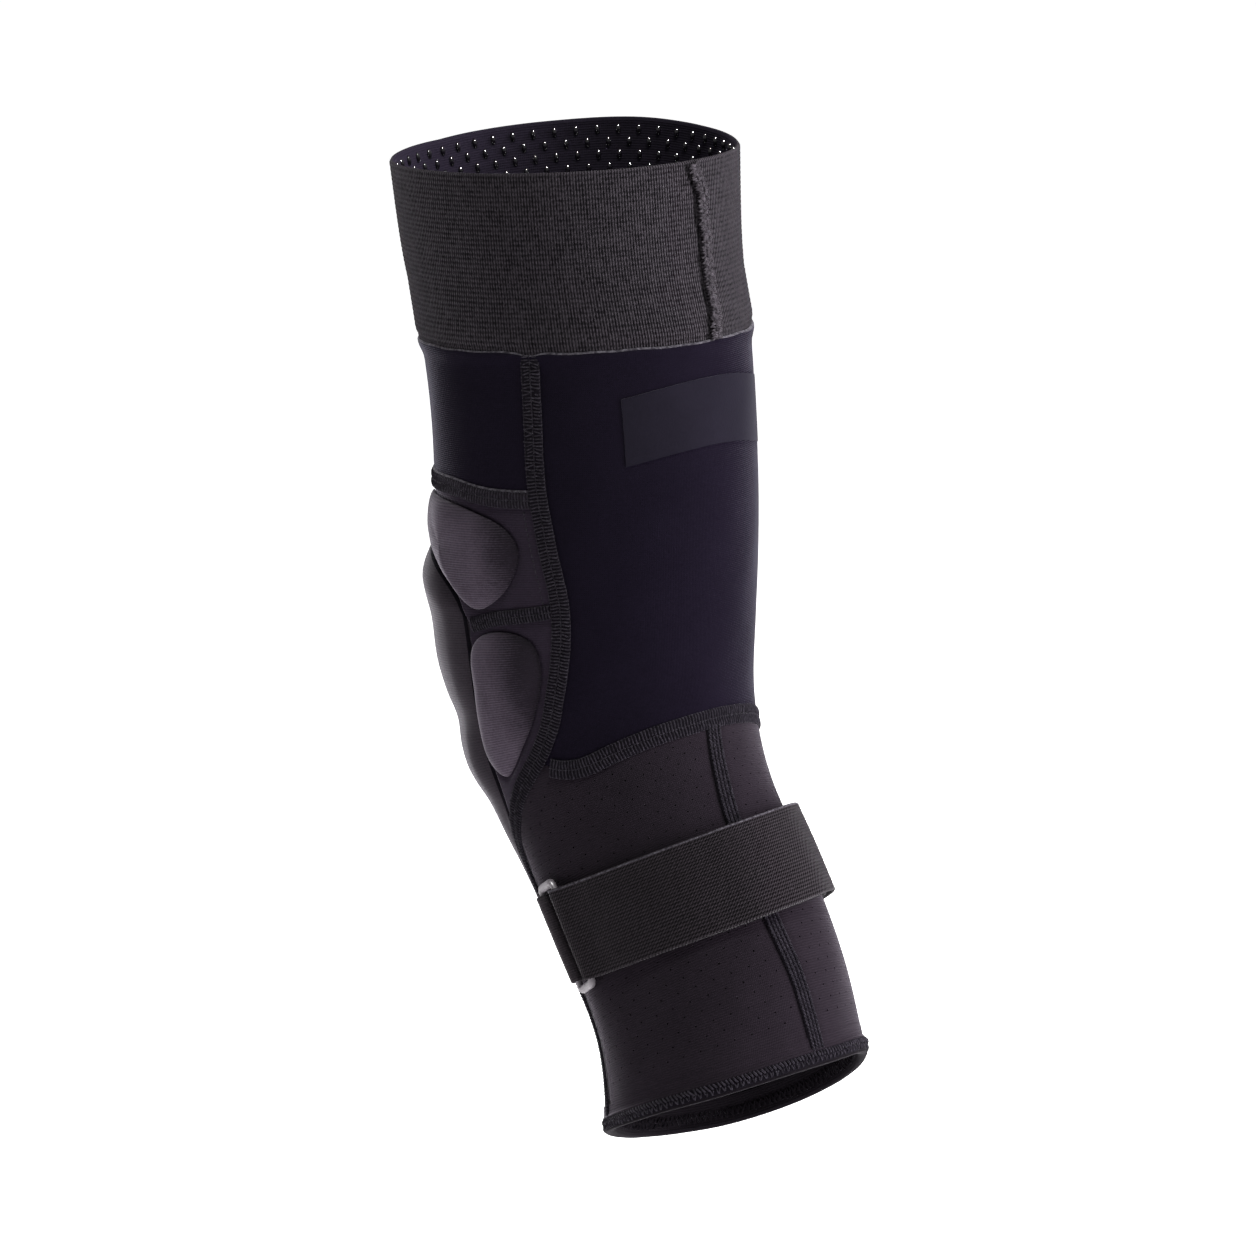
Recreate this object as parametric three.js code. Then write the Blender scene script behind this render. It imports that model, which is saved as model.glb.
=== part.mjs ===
// A mountain bike knee guard: a pull-on sleeve of sewn panels with foam pads and a calf strap, as worn.
// Millimetres, +Z up. The knee faces -Y and the wearer's left is +X; the origin is the knee's middle.
// Every piece is placed on the leg form by three numbers: "turn", the angle round the leg in degrees from the
// front towards +X; "down", the way along the sleeve from its top rim; "out", the height off its outer face.
import * as THREE from "three";

const GAP = 0.35; // clear space under a piece that lies on another
const BUTT = 0.45; // each panel's edge stands back this far from the middle of its seam
const SECTOR = 9; // the turn, in degrees, of one facet of a hoop
const CORNER_ROUNDS = 40; // steps in finding where two edges of a panel cross

// The leg form, section by section: its lean backwards, its half width, and its depth to the front and back.
const LEG = [
  { down: 0, tilt: 2.4, half: 68.2, front: 74, back: 62.4 },
  { down: 38, tilt: 2.8, half: 66, front: 68, back: 63.9 },
  { down: 76, tilt: 3.3, half: 64.1, front: 56.3, back: 69.8 },
  { down: 114, tilt: 4.3, half: 62.6, front: 54, back: 71.4 },
  { down: 152, tilt: 5.4, half: 62, front: 60.2, back: 69.6 },
  { down: 191, tilt: 8.8, half: 59, front: 61, back: 64.6 },
  { down: 229, tilt: 17.8, half: 54, front: 55.3, back: 59 },
  { down: 267, tilt: 28.1, half: 50, front: 46.1, back: 57.8 },
  { down: 305, tilt: 31.8, half: 49.9, front: 42.8, back: 59.5 },
  { down: 343, tilt: 29.2, half: 50.8, front: 42, back: 57.2 },
  { down: 381, tilt: 25.8, half: 53.9, front: 60.4, back: 45.6 },
];
// The top rim and the hem are not level: how far down each lies from its section, round the leg.
const ENDS = [
  { turn: 0, top: 1.2, hem: 0 },
  { turn: 40, top: 2.2, hem: -4 },
  { turn: 90, top: 0.8, hem: -2.2 },
  { turn: 134, top: 0, hem: 0 },
  { turn: 180, top: 0, hem: -0.5 },
  { turn: 230, top: 0, hem: -1.8 },
  { turn: 260, top: -1.7, hem: 2 },
  { turn: 290, top: -3.8, hem: 5 },
  { turn: 320, top: -2.2, hem: 4.8 },
  { turn: 345, top: -0.2, hem: 2 },
  { turn: 360, top: 1.2, hem: 0 },
];
const ENDS_FADE = { top: 60, hem: 325 }; // the sections between these are level
const KNEE = { down: 190, y: 3.1, z: -12.8 }; // the section that sits at the origin, and its centre there
const SLEEVE = 381;

// Seams as drawn on the left side; the right side mirrors them.
const SIDE_SEAM = [
  { down: 70, turn: 116 },
  { down: 96, turn: 115 },
  { down: 121, turn: 114.5 },
  { down: 146, turn: 117 },
  { down: 172, turn: 120 },
  { down: 190, turn: 118.5 },
  { down: 209, turn: 113.5 },
  { down: 223, turn: 107.5 },
  { down: 234, turn: 98 },
  { down: 250, turn: 74.5 },
  { down: 259.5, turn: 63 },
  { down: 270, turn: 58.5 },
  { down: 285, turn: 58 },
  { down: 374, turn: 57 },
];
const THIGH_SEAM = [
  { turn: 0, down: 122 },
  { turn: 50, down: 123.5 },
  { turn: 80, down: 124.5 },
  { turn: 98, down: 127.5 },
  { turn: 120, down: 128 },
];
// The yoke's lower edge: over the knee cover to its corner, then back along the mid seam.
const YOKE_EDGE = [
  { turn: 0, down: 144 },
  { turn: 25, down: 146 },
  { turn: 46, down: 151 },
  { turn: 62, down: 157 },
  { turn: 71, down: 162.5 },
  { turn: 76, down: 168.5 },
  { turn: 79, down: 175.5 },
  { turn: 81, down: 177.8 },
  { turn: 85, down: 177.5 },
  { turn: 93, down: 175.5 },
  { turn: 106, down: 174 },
  { turn: 122, down: 172 },
];
const COVER_CORNER = { turn: 79, down: 176 };
// The knee cover's side edge, from its corner to where it meets the side seam.
const COVER_SIDE = [
  { down: 176, turn: 79 },
  { down: 188, turn: 79 },
  { down: 200, turn: 77.8 },
  { down: 215, turn: 74 },
  { down: 231, turn: 71 },
  { down: 243, turn: 69 },
  { down: 259.5, turn: 63 },
];
const COVER_MEETS = 259.5;
const LOWER_PANEL_TIP = 253;
// Behind the knee, from the side seam to the middle of the back.
const BACK_KNEE_SEAM = [
  { turn: 98, down: 233 },
  { turn: 104, down: 238 },
  { turn: 115, down: 241.5 },
  { turn: 131, down: 239 },
  { turn: 148, down: 236 },
  { turn: 170, down: 234 },
  { turn: 180, down: 233.6 },
];
// The one seam that is not mirrored, down the calf.
const CALF_SEAM = [
  { down: 230, turn: 176.5 },
  { down: 265, turn: 172 },
  { down: 287, turn: 168.5 },
  { down: 328, turn: 167.5 },
  { down: 352, turn: 172.5 },
  { down: 376, turn: 178 },
];

const CUFF = { length: 70, wall: 2, flare: 1.6, flareFrom: 47, rim: 0.6 };
const WALL = { stretch: 1.2, padded: 2.5, calf: 3 };
const PANEL_TOP = 70.6; // where the thigh and back panels start, under the cuff
const HEM = { from: 372.4, to: 381.4, proud: 0.9, inside: 3.6, rim: 1.1 };
const PANEL_END = HEM.from - 0.4;
const SEAM = { high: 1.25, bevel: 0.7, step: 8, traced: 9 }; // traced: how far apart its path is worked out
const SEAM_WIDTH = { cuff: 6.8, thigh: 6.5, side: 7.6, shin: 4.4, mid: 5.5, knee: 7.4, calf: 5.6 };
const SIDE_TAPER = { from: 252, to: 272 }; // the side seam narrows to the shin seam between these
const KNEE_SEAM_START = 104; // the seam behind the knee starts here, beside the side seam
const MID_SEAM_START = 83; // the mid seam starts here, behind the knee cover
const CUFF_SEAM = { turn: 186, from: 2.5, to: 68, low: 0.35, high: 1.6 };
const PATCH = { from: 144.5, to: 215.5, top: 89, tall: 27, arch: 5, thick: 0.5 };

// How far the padded cover stands off the form, from its top edge to the shin.
const COVER_BULGE = [
  { down: 144, bulge: 3.2 },
  { down: 160, bulge: 4.9 },
  { down: 167, bulge: 4.5 },
  { down: 177, bulge: 3.1 },
  { down: 193, bulge: 3.5 },
  { down: 204, bulge: 2.7 },
  { down: 213, bulge: 1.5 },
  { down: 222, bulge: 3.4 },
  { down: 229, bulge: 4 },
  { down: 235, bulge: 3.2 },
  { down: 242, bulge: 1.5 },
  { down: 255, bulge: 1.1 },
  { down: 300, bulge: 1 },
  { down: 374, bulge: 0.6 },
];
const COVER_RISE = 13; // the bulge is full this far in from the cover's edge
// Where the side seam lies on the cover's edge the bulge starts this deep in, eased over this length.
const COVER_TUCK = { deep: 5.5, over: 20 };
const COVER_FOAM = 0.8; // the foam's share of the bulge again on the inside

const UPPER_PAD = [
  { turn: 36, down: 136, high: 0.6 },
  { turn: 43, down: 129.5, high: 1.6 },
  { turn: 57, down: 129.5, high: 3 },
  { turn: 74, down: 130.5, high: 6 },
  { turn: 90, down: 133.5, high: 6 },
  { turn: 102, down: 139.5, high: 6 },
  { turn: 106.5, down: 148.5, high: 6 },
  { turn: 103, down: 160, high: 6 },
  { turn: 95, down: 168.5, high: 6 },
  { turn: 86, down: 171.5, high: 6 },
  { turn: 76, down: 163, high: 6 },
  { turn: 62, down: 154.5, high: 3 },
  { turn: 45, down: 147, high: 0.6 },
];
const LOWER_PAD = [
  { turn: 81.5, down: 187, high: 6 },
  { turn: 86, down: 182.5, high: 6 },
  { turn: 94, down: 180.5, high: 6 },
  { turn: 102, down: 181.5, high: 6 },
  { turn: 108, down: 185.5, high: 6 },
  { turn: 110, down: 193.5, high: 6 },
  { turn: 108.5, down: 204, high: 6 },
  { turn: 102.5, down: 217, high: 6 },
  { turn: 94, down: 227, high: 6 },
  { turn: 85, down: 234.5, high: 6 },
  { turn: 78.5, down: 236.5, high: 6 },
  { turn: 73.5, down: 231, high: 6 },
  { turn: 75.5, down: 216, high: 6 },
  { turn: 79, down: 201, high: 6 },
];
const PAD = { low: 0.5, edge: 0.7, round: 2.4, sides: 22, rings: [0, 0.34, 0.64, 0.88, 1] };

const STRAP = { width: 38, thick: 1.4, outerEnd: 250, anchor: 302, step: 7 };
// The strap's middle line round the leg.
const STRAP_LINE = [
  { turn: 40, down: 298 },
  { turn: 78, down: 301 },
  { turn: 108, down: 304.5 },
  { turn: 135, down: 306.5 },
  { turn: 160, down: 307 },
  { turn: 180, down: 306 },
  { turn: 220, down: 302 },
  { turn: 305, down: 297 },
];
// The strap's height off the sleeve: it rides over the calf seam and the far side seam, and its free outer
// run stands off its inner run behind the calf.
const STRAP_RIDE = [
  { turn: 70, low: 0.5, slack: 0.4 },
  { turn: 142, low: 0.5, slack: 0.4 },
  { turn: 149, low: 0.5, slack: 0.4 },
  { turn: 160, low: 1.6, slack: 0.4 },
  { turn: 177, low: 1.6, slack: 0.6 },
  { turn: 188, low: 0.6, slack: 1.8 },
  { turn: 196, low: 0.6, slack: 2.4 },
  { turn: 222, low: 0.6, slack: 2.3 },
  { turn: 250, low: 0.6, slack: 0.8 },
  { turn: 282, low: 0.6, slack: 0.4 },
  { turn: 289, low: 0.6, slack: 0.4 },
  { turn: 300, low: 1.6, slack: 0.4 },
];
const RING = { turn: 82, half: 7, bar: 2.2, slot: 40.2, corner: 3.2, bevel: 0.7 };
const THREAD = { clear: 0.45, settle: 10, sink: 0.3 }; // how webbing goes round a bar of the ring
const BAR_OUT = STRAP_RIDE[0].low + STRAP.thick + THREAD.clear + RING.bar / 2; // height of the ring's bars
const TAB = { width: 36, thick: 1.2, low: 0.5, end: 61, step: 3 };
const DEGREE_AT_STRAP = 0.87; // millimetres round the leg for one degree, under the strap

const FABRIC = { roughness: 0.9, metalness: 0 };
const MATERIAL = {
  cuff: new THREE.MeshStandardMaterial({ color: 0x383439, ...FABRIC }),
  stretch: new THREE.MeshStandardMaterial({ color: 0x1d1922, ...FABRIC }),
  patch: new THREE.MeshStandardMaterial({ color: 0x2b2734, roughness: 0.8, metalness: 0 }),
  padded: new THREE.MeshStandardMaterial({ color: 0x3a323f, ...FABRIC }),
  cover: new THREE.MeshStandardMaterial({ color: 0x413a42, ...FABRIC }),
  calf: new THREE.MeshStandardMaterial({ color: 0x2c272d, ...FABRIC }),
  thread: new THREE.MeshStandardMaterial({ color: 0x211d26, ...FABRIC }),
  strap: new THREE.MeshStandardMaterial({ color: 0x2a262b, ...FABRIC }),
  ring: new THREE.MeshStandardMaterial({ color: 0x78737a, roughness: 0.45, metalness: 0 }),
};

const { lerp, clamp, smoothstep, degToRad } = THREE.MathUtils;

// A table as a smooth function of its first column; it gives an object of the other columns.
function smooth(rows) {
  const [key, ...names] = Object.keys(rows[0]);
  const curve = new THREE.CubicInterpolant(
    rows.map((row) => row[key]),
    rows.flatMap((row) => names.map((name) => row[name])),
    names.length,
  );
  return (at) => {
    const found = curve.evaluate(at);
    return Object.fromEntries(names.map((name, i) => [name, found[i]]));
  };
}

// Evenly spaced numbers from one end to the other, about a step apart.
function spread(from, to, step) {
  const count = Math.max(1, Math.round(Math.abs(to - from) / step));
  return Array.from({ length: count + 1 }, (_, i) => lerp(from, to, i / count));
}

const legAt = smooth(LEG);
const endsAt = smooth(ENDS);

// The centre line, one point for each millimetre of sleeve, moved so the knee's section sits at the origin.
function centreLine() {
  const line = [new THREE.Vector2(0, 0)];
  for (let down = 0; down < SLEEVE; down += 1) {
    const lean = degToRad(legAt(down + 0.5).tilt);
    line.push(line[down].clone().add(new THREE.Vector2(Math.sin(lean), -Math.cos(lean))));
  }
  const shift = new THREE.Vector2(KNEE.y, KNEE.z).sub(line[KNEE.down]);
  return line.map((point) => point.add(shift));
}

const CENTRE = centreLine();

function onLeg(turn, level, out) {
  const { top, hem } = endsAt(THREE.MathUtils.euclideanModulo(turn, 360));
  const upper = top * (1 - smoothstep(level, 0, ENDS_FADE.top));
  const down = level + upper + hem * smoothstep(level, ENDS_FADE.hem, SLEEVE);
  const { tilt, half, front, back } = legAt(down);
  const before = clamp(Math.floor(down), 0, SLEEVE - 1);
  const centre = CENTRE[before].clone().lerp(CENTRE[before + 1], down - before);
  const side = Math.sin(degToRad(turn));
  const ahead = Math.cos(degToRad(turn));
  const depth = ahead > 0 ? front : back;
  const normal = new THREE.Vector2(depth * side, -half * ahead).normalize();
  const across = half * side + normal.x * out;
  const behind = -depth * ahead + normal.y * out;
  const lean = degToRad(tilt);
  return new THREE.Vector3(across, centre.x + behind * Math.cos(lean), centre.y + behind * Math.sin(lean));
}

// A surface under construction: equal points are one point, and faces that shrink to a line are dropped.
class Skin {
  points = [];
  faces = [];
  found = new Map();

  point(at) {
    const key = at.toArray().map((value) => Math.round(value * 1e4)).join();
    if (!this.found.has(key)) {
      this.found.set(key, this.points.length);
      this.points.push(at);
    }
    return this.found.get(key);
  }

  quad(...corners) {
    const [a, b, c, d] = corners.map((at) => this.point(at));
    for (const face of [[a, b, c], [a, c, d]]) {
      if (new Set(face).size === 3) this.faces.push(face);
    }
  }

  // The finished geometry, with its faces turned outwards.
  geometry() {
    const volume = this.faces.reduce((sum, [a, b, c]) => {
      const edge = new THREE.Vector3().crossVectors(this.points[b], this.points[c]);
      return sum + this.points[a].dot(edge);
    }, 0);
    const index = this.faces.flatMap(([a, b, c]) => (volume < 0 ? [a, c, b] : [a, b, c]));
    return new THREE.BufferGeometry().setFromPoints(this.points).setIndex(index);
  }
}

// A sheet with a thickness: place(u, v, side) gives its inner face for side 0 and its outer face for side 1.
function shell(us, vs, place, closed = false) {
  const skin = new Skin();
  const [lastU, lastV] = [us.length - 1, vs.length - 1];
  const at = (i, j, side) => place(us[i], vs[j], side);
  for (let i = 0; i < lastU; i += 1) {
    for (let j = 0; j < lastV; j += 1) {
      skin.quad(at(i, j, 1), at(i, j + 1, 1), at(i + 1, j + 1, 1), at(i + 1, j, 1));
      skin.quad(at(i, j, 0), at(i + 1, j, 0), at(i + 1, j + 1, 0), at(i, j + 1, 0));
    }
    skin.quad(at(i, 0, 1), at(i + 1, 0, 1), at(i + 1, 0, 0), at(i, 0, 0));
    skin.quad(at(i, lastV, 1), at(i, lastV, 0), at(i + 1, lastV, 0), at(i + 1, lastV, 1));
  }
  if (!closed) {
    for (let j = 0; j < lastV; j += 1) {
      skin.quad(at(0, j, 1), at(0, j, 0), at(0, j + 1, 0), at(0, j + 1, 1));
      skin.quad(at(lastU, j, 1), at(lastU, j + 1, 1), at(lastU, j + 1, 0), at(lastU, j, 0));
    }
  }
  return skin.geometry();
}

// A closed outline of { down, out } points carried once round the leg.
function hoop(outline) {
  const skin = new Skin();
  const turns = spread(0, 360, SECTOR);
  for (let i = 0; i < turns.length - 1; i += 1) {
    const next = turns[i + 1] % 360;
    outline.forEach((point, j) => {
      const after = outline[(j + 1) % outline.length];
      skin.quad(
        onLeg(turns[i], point.down, point.out),
        onLeg(turns[i], after.down, after.out),
        onLeg(next, after.down, after.out),
        onLeg(next, point.down, point.out),
      );
    });
  }
  return skin.geometry();
}

// A panel between four edges: west and east give a turn for each down, north and south a down for each turn.
function panel({ west, east, north, south, us, vs, outer, inner }) {
  const corner = (turnAt, downAt, start) => {
    let down = start;
    for (let k = 0; k < CORNER_ROUNDS; k += 1) down = (down + downAt(turnAt(down))) / 2;
    return { down, turn: turnAt(down) };
  };
  const high = north(0);
  const low = south(0);
  const [nw, ne] = [corner(west, north, high), corner(east, north, high)];
  const [sw, se] = [corner(west, south, low), corner(east, south, low)];
  return shell(us, vs, (u, v, side) => {
    const turn = lerp(west(lerp(nw.down, sw.down, v)), east(lerp(ne.down, se.down, v)), u);
    const top = north(lerp(nw.turn, ne.turn, u));
    const bottom = south(lerp(sw.turn, se.turn, u));
    const down = lerp(top, bottom, v);
    return onLeg(turn, down, side ? outer(turn, down) : inner(turn, down));
  });
}

// A flat sewn strip along a path of { turn, down }, standing on the panels. Edges is the order of its two
// edges, which sets the way its facets are split.
function strip(path, { widthAt, base = () => 0, high = SEAM.high, edges = [0, 1] }) {
  const length = path.reduce((sum, at, i) => {
    if (i === 0) return 0;
    const last = path[i - 1];
    return sum + onLeg(at.turn, at.down, 0).distanceTo(onLeg(last.turn, last.down, 0));
  }, 0);
  const line = new THREE.SplineCurve(path.map((at) => new THREE.Vector2(at.turn, at.down)));
  return shell(spread(0, 1, SEAM.step / length), edges, (u, v, side) => {
    const at = line.getPoint(u);
    const way = line.getTangent(u);
    const degree = onLeg(at.x + 0.5, at.y, 0).distanceTo(onLeg(at.x - 0.5, at.y, 0));
    const along = new THREE.Vector2(way.x * degree, way.y).normalize();
    const off = (2 * v - 1) * (widthAt(at.y) / 2 - side * SEAM.bevel);
    const turn = at.x + (along.y * off) / degree;
    const down = at.y - along.x * off;
    return onLeg(turn, down, base(down) + (side ? high : GAP));
  });
}

// A domed pad inside a closed outline of { turn, down } points, each with the height the dome leans to there.
function dome(outline) {
  const corners = outline.map((at) => new THREE.Vector3(at.turn, at.down, at.high));
  const rim = new THREE.CatmullRomCurve3(corners, true, "centripetal");
  const middle = corners.reduce((sum, at) => sum.add(at), new THREE.Vector3()).divideScalar(corners.length);
  return shell(spread(0, 1, 1 / PAD.sides), PAD.rings, (u, v, side) => {
    const at = middle.clone().lerp(rim.getPointAt(u % 1), v);
    const crown = PAD.edge + (at.z - PAD.edge) * Math.sqrt(1 - v ** PAD.round);
    return onLeg(at.x, at.y, PAD.low + side * crown);
  }, true);
}

// A webbing that runs in under a bar, folds round it and comes back on top. Way is 1 if it comes from larger
// turns; under and over give the heights of its two runs' middles away from the bar.
function threaded({ bar, way, innerEnd, outerEnd, width, thick, step, under, over }) {
  const fold = RING.bar / 2 + THREAD.clear + thick / 2;
  const eased = (turn, atBar, away) => {
    const gone = Math.abs(turn - bar) * DEGREE_AT_STRAP;
    return { turn, out: lerp(atBar, away(turn), smoothstep(gone, 0, THREAD.settle)) };
  };
  const path = spread(innerEnd, bar, step).map((turn) => eased(turn, BAR_OUT - fold, under));
  for (const swing of spread(0, 180, 30).slice(1, -1)) {
    const reach = (fold * Math.sin(degToRad(swing))) / DEGREE_AT_STRAP;
    path.push({ turn: bar - way * reach, out: BAR_OUT - fold * Math.cos(degToRad(swing)) });
  }
  path.push(...spread(bar, outerEnd, step).map((turn) => eased(turn, BAR_OUT + fold, over)));
  const flat = path.map((at) => new THREE.Vector2(at.turn * DEGREE_AT_STRAP, at.out));
  const steps = path.map((_, i) => i);
  return shell(steps, [0, 0.5, 1], (i, v, side) => {
    const before = flat[Math.max(i - 1, 0)];
    const after = flat[Math.min(i + 1, flat.length - 1)];
    const along = after.clone().sub(before).normalize();
    const half = (side - 0.5) * thick;
    const turn = (flat[i].x - along.y * half) / DEGREE_AT_STRAP;
    const out = flat[i].y + along.x * half;
    return onLeg(turn, strapLine(turn).down + (v - 0.5) * width, out);
  });
}

const sideSeam = smooth(SIDE_SEAM);
const thighSeam = smooth(THIGH_SEAM);
const yokeEdge = smooth(YOKE_EDGE);
const coverEdge = smooth(COVER_SIDE);
const kneeSeam = smooth(BACK_KNEE_SEAM);
const calfSeam = smooth(CALF_SEAM);
const coverBulge = smooth(COVER_BULGE);
const strapLine = smooth(STRAP_LINE);
const strapRide = smooth(STRAP_RIDE);

const sideTurn = (down) => sideSeam(down).turn;
const coverTurn = (down) => (down < COVER_MEETS ? coverEdge(down).turn : sideTurn(down));
const thighDown = (turn) => thighSeam(Math.abs(turn)).down;
const yokeDown = (turn) => yokeEdge(Math.abs(turn)).down;
const kneeDown = (turn) => kneeSeam(turn > 180 ? 360 - turn : turn).down;
const flatOuter = () => 0;

const guard = new THREE.Group();
guard.name = "knee_guard";

function add(name, geometry, material) {
  const mesh = new THREE.Mesh(geometry, material);
  mesh.name = name;
  guard.add(mesh);
}

// The cuff flares a little over the panels sewn to its lower edge.
function cuffOut(down) {
  return CUFF.flare * clamp((down - CUFF.flareFrom) / (CUFF.length - CUFF.flareFrom), 0, 1);
}
function cuff() {
  const rows = [CUFF.rim, CUFF.flareFrom / 2, CUFF.flareFrom, CUFF.length];
  const outside = rows.map((down) => ({ down, out: cuffOut(down) }));
  const inside = rows.map((down) => ({ down, out: -CUFF.wall })).reverse();
  const rim = [{ down: 0, out: CUFF.rim - CUFF.wall }, { down: 0, out: -CUFF.rim }];
  return hoop([...outside, ...inside, ...rim]);
}
add("cuff", cuff(), MATERIAL.cuff);
const cuffDowns = spread(CUFF_SEAM.from, CUFF_SEAM.to, SEAM.traced);
const cuffSeamPath = cuffDowns.map((down) => ({ turn: CUFF_SEAM.turn, down }));
add(
  "cuff_back_seam",
  strip(cuffSeamPath, {
    widthAt: () => SEAM_WIDTH.cuff,
    base: (down) => cuffOut(down) + CUFF_SEAM.low,
    high: CUFF_SEAM.high,
  }),
  MATERIAL.cuff,
);

// Columns of the yoke and the knee cover fall on the same turns, so their shared edge has the same facets.
const HALF_COLUMNS = [0, 10, 20, 30, 40, 50, 58, 65, 70, 74, 77, 79];
const coverColumns = [...HALF_COLUMNS.slice(1).map((turn) => -turn).reverse(), ...HALF_COLUMNS];

add(
  "thigh_front_panel",
  panel({
    west: (down) => BUTT - sideTurn(down),
    east: (down) => sideTurn(down) - BUTT,
    north: () => PANEL_TOP,
    south: (turn) => thighDown(turn) - BUTT,
    us: spread(0, 1, SECTOR / (2 * sideTurn(PANEL_TOP))),
    vs: spread(0, 1, 0.25),
    outer: flatOuter,
    inner: () => -WALL.stretch,
  }),
  MATERIAL.stretch,
);

// The yoke and the lower side panels share columns too, from the cover's corner to the side seam.
const SIDE_COLUMNS = [81, 85, 93, 100, 107, 113];
const yokeEnd = sideTurn(YOKE_EDGE.at(-1).down) - BUTT;
const yokeHalf = [...SIDE_COLUMNS, yokeEnd];
const yokeTurns = [...yokeHalf.map((turn) => -turn).reverse(), ...coverColumns, ...yokeHalf];
const yokeColumns = yokeTurns.map((turn) => (turn / yokeEnd + 1) / 2);
add(
  "pad_yoke",
  panel({
    west: (down) => BUTT - sideTurn(down),
    east: (down) => sideTurn(down) - BUTT,
    north: (turn) => thighDown(turn) + BUTT,
    south: (turn) => yokeDown(turn) - BUTT,
    us: yokeColumns,
    vs: spread(0, 1, 1 / 3),
    outer: flatOuter,
    inner: () => -WALL.padded,
  }),
  MATERIAL.padded,
);

// The knee cover bulges over its foam and runs on down the shin.
function coverOut(turn, down) {
  const tuck = BUTT + COVER_TUCK.deep * smoothstep(down, COVER_MEETS - COVER_TUCK.over, COVER_MEETS);
  const edge = Math.min(coverTurn(down) - tuck - Math.abs(turn), down - yokeDown(turn) - BUTT);
  return coverBulge(down).bulge * Math.sqrt(smoothstep(edge, 0, COVER_RISE));
}
// Rows lie closer over the bumps of the foam and where the shin flares to the hem.
const COVER_ROWS = [
  0, 0.015, 0.04, 0.075, 0.12, 0.17, 0.22, 0.27, 0.32, 0.37, 0.42, 0.47, 0.54,
  0.62, 0.7, 0.78, 0.84, 0.895, 0.95, 1,
];
add(
  "knee_cover",
  panel({
    west: (down) => BUTT - coverTurn(down),
    east: (down) => coverTurn(down) - BUTT,
    north: (turn) => yokeDown(clamp(turn, -COVER_CORNER.turn, COVER_CORNER.turn)) + BUTT,
    south: () => PANEL_END,
    us: coverColumns.map((turn) => (turn / COVER_CORNER.turn + 1) / 2),
    vs: COVER_ROWS,
    outer: coverOut,
    inner: (turn, down) => -WALL.padded - COVER_FOAM * coverOut(turn, down),
  }),
  MATERIAL.cover,
);

add(
  "back_panel",
  panel({
    west: (down) => sideTurn(down) + BUTT,
    east: (down) => 360 - sideTurn(down) - BUTT,
    north: () => PANEL_TOP,
    south: (turn) => kneeDown(turn) - BUTT,
    us: spread(0, 1, 1 / 15),
    vs: [0, 0.1, 0.2, 0.3, 0.4, 0.5, 0.6, 0.68, 0.75, 0.81, 0.87, 0.92, 0.96, 1],
    outer: flatOuter,
    inner: () => -WALL.stretch,
  }),
  MATERIAL.stretch,
);
const arch = (turn) => PATCH.arch * Math.cos(degToRad(((turn - 180) / (PATCH.to - 180)) * 90));
add(
  "back_patch",
  shell(spread(PATCH.from, PATCH.to, SECTOR), spread(0, PATCH.tall, 9), (turn, fall, side) =>
    onLeg(turn, PATCH.top + fall - arch(turn), GAP + side * PATCH.thick),
  ),
  MATERIAL.patch,
);

// Rows lie closer where the side seam slants across the calf's top.
const CALF_ROWS = [0, 0.05, 0.1, 0.15, 0.2, 0.28, 0.37, 0.46, 0.55, 0.64, 0.73, 0.82, 0.91, 1];
add(
  "calf_panel_left",
  panel({
    west: (down) => sideTurn(down) + BUTT,
    east: (down) => calfSeam(down).turn - BUTT,
    north: (turn) => kneeDown(turn) + BUTT,
    south: () => PANEL_END,
    us: spread(0, 1, 1 / 14),
    vs: CALF_ROWS,
    outer: flatOuter,
    inner: () => -WALL.calf,
  }),
  MATERIAL.calf,
);
add(
  "calf_panel_right",
  panel({
    west: (down) => 360 - sideTurn(down) - BUTT,
    east: (down) => calfSeam(down).turn + BUTT,
    north: (turn) => kneeDown(turn) + BUTT,
    south: () => PANEL_END,
    us: spread(0, 1, 1 / 16),
    vs: CALF_ROWS,
    outer: flatOuter,
    inner: () => -WALL.calf,
  }),
  MATERIAL.calf,
);

// Seams that run round the leg stop short of the seams they meet.
const beside = (seam, width) => seam - width / 2 - GAP - SEAM.bevel;
const thighEnd = beside(sideTurn(THIGH_SEAM.at(-1).down), SEAM_WIDTH.side);
const thighPath = spread(-thighEnd, thighEnd, SEAM.traced).map((turn) => ({ turn, down: thighDown(turn) }));
add("thigh_seam", strip(thighPath, { widthAt: () => SEAM_WIDTH.thigh }), MATERIAL.thread);
const kneeTurns = spread(KNEE_SEAM_START, 360 - KNEE_SEAM_START, SEAM.traced);
const kneePath = kneeTurns.map((turn) => ({ turn, down: kneeDown(turn) }));
add("back_knee_seam", strip(kneePath, { widthAt: () => SEAM_WIDTH.knee }), MATERIAL.thread);
const calfStart = kneeDown(CALF_SEAM[0].turn) + SEAM_WIDTH.knee / 2 + GAP;
const calfDowns = spread(calfStart, PANEL_END - GAP, SEAM.traced);
const calfPath = calfDowns.map((down) => ({ turn: calfSeam(down).turn, down }));
add("calf_seam", strip(calfPath, { widthAt: () => SEAM_WIDTH.calf }), MATERIAL.thread);

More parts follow.
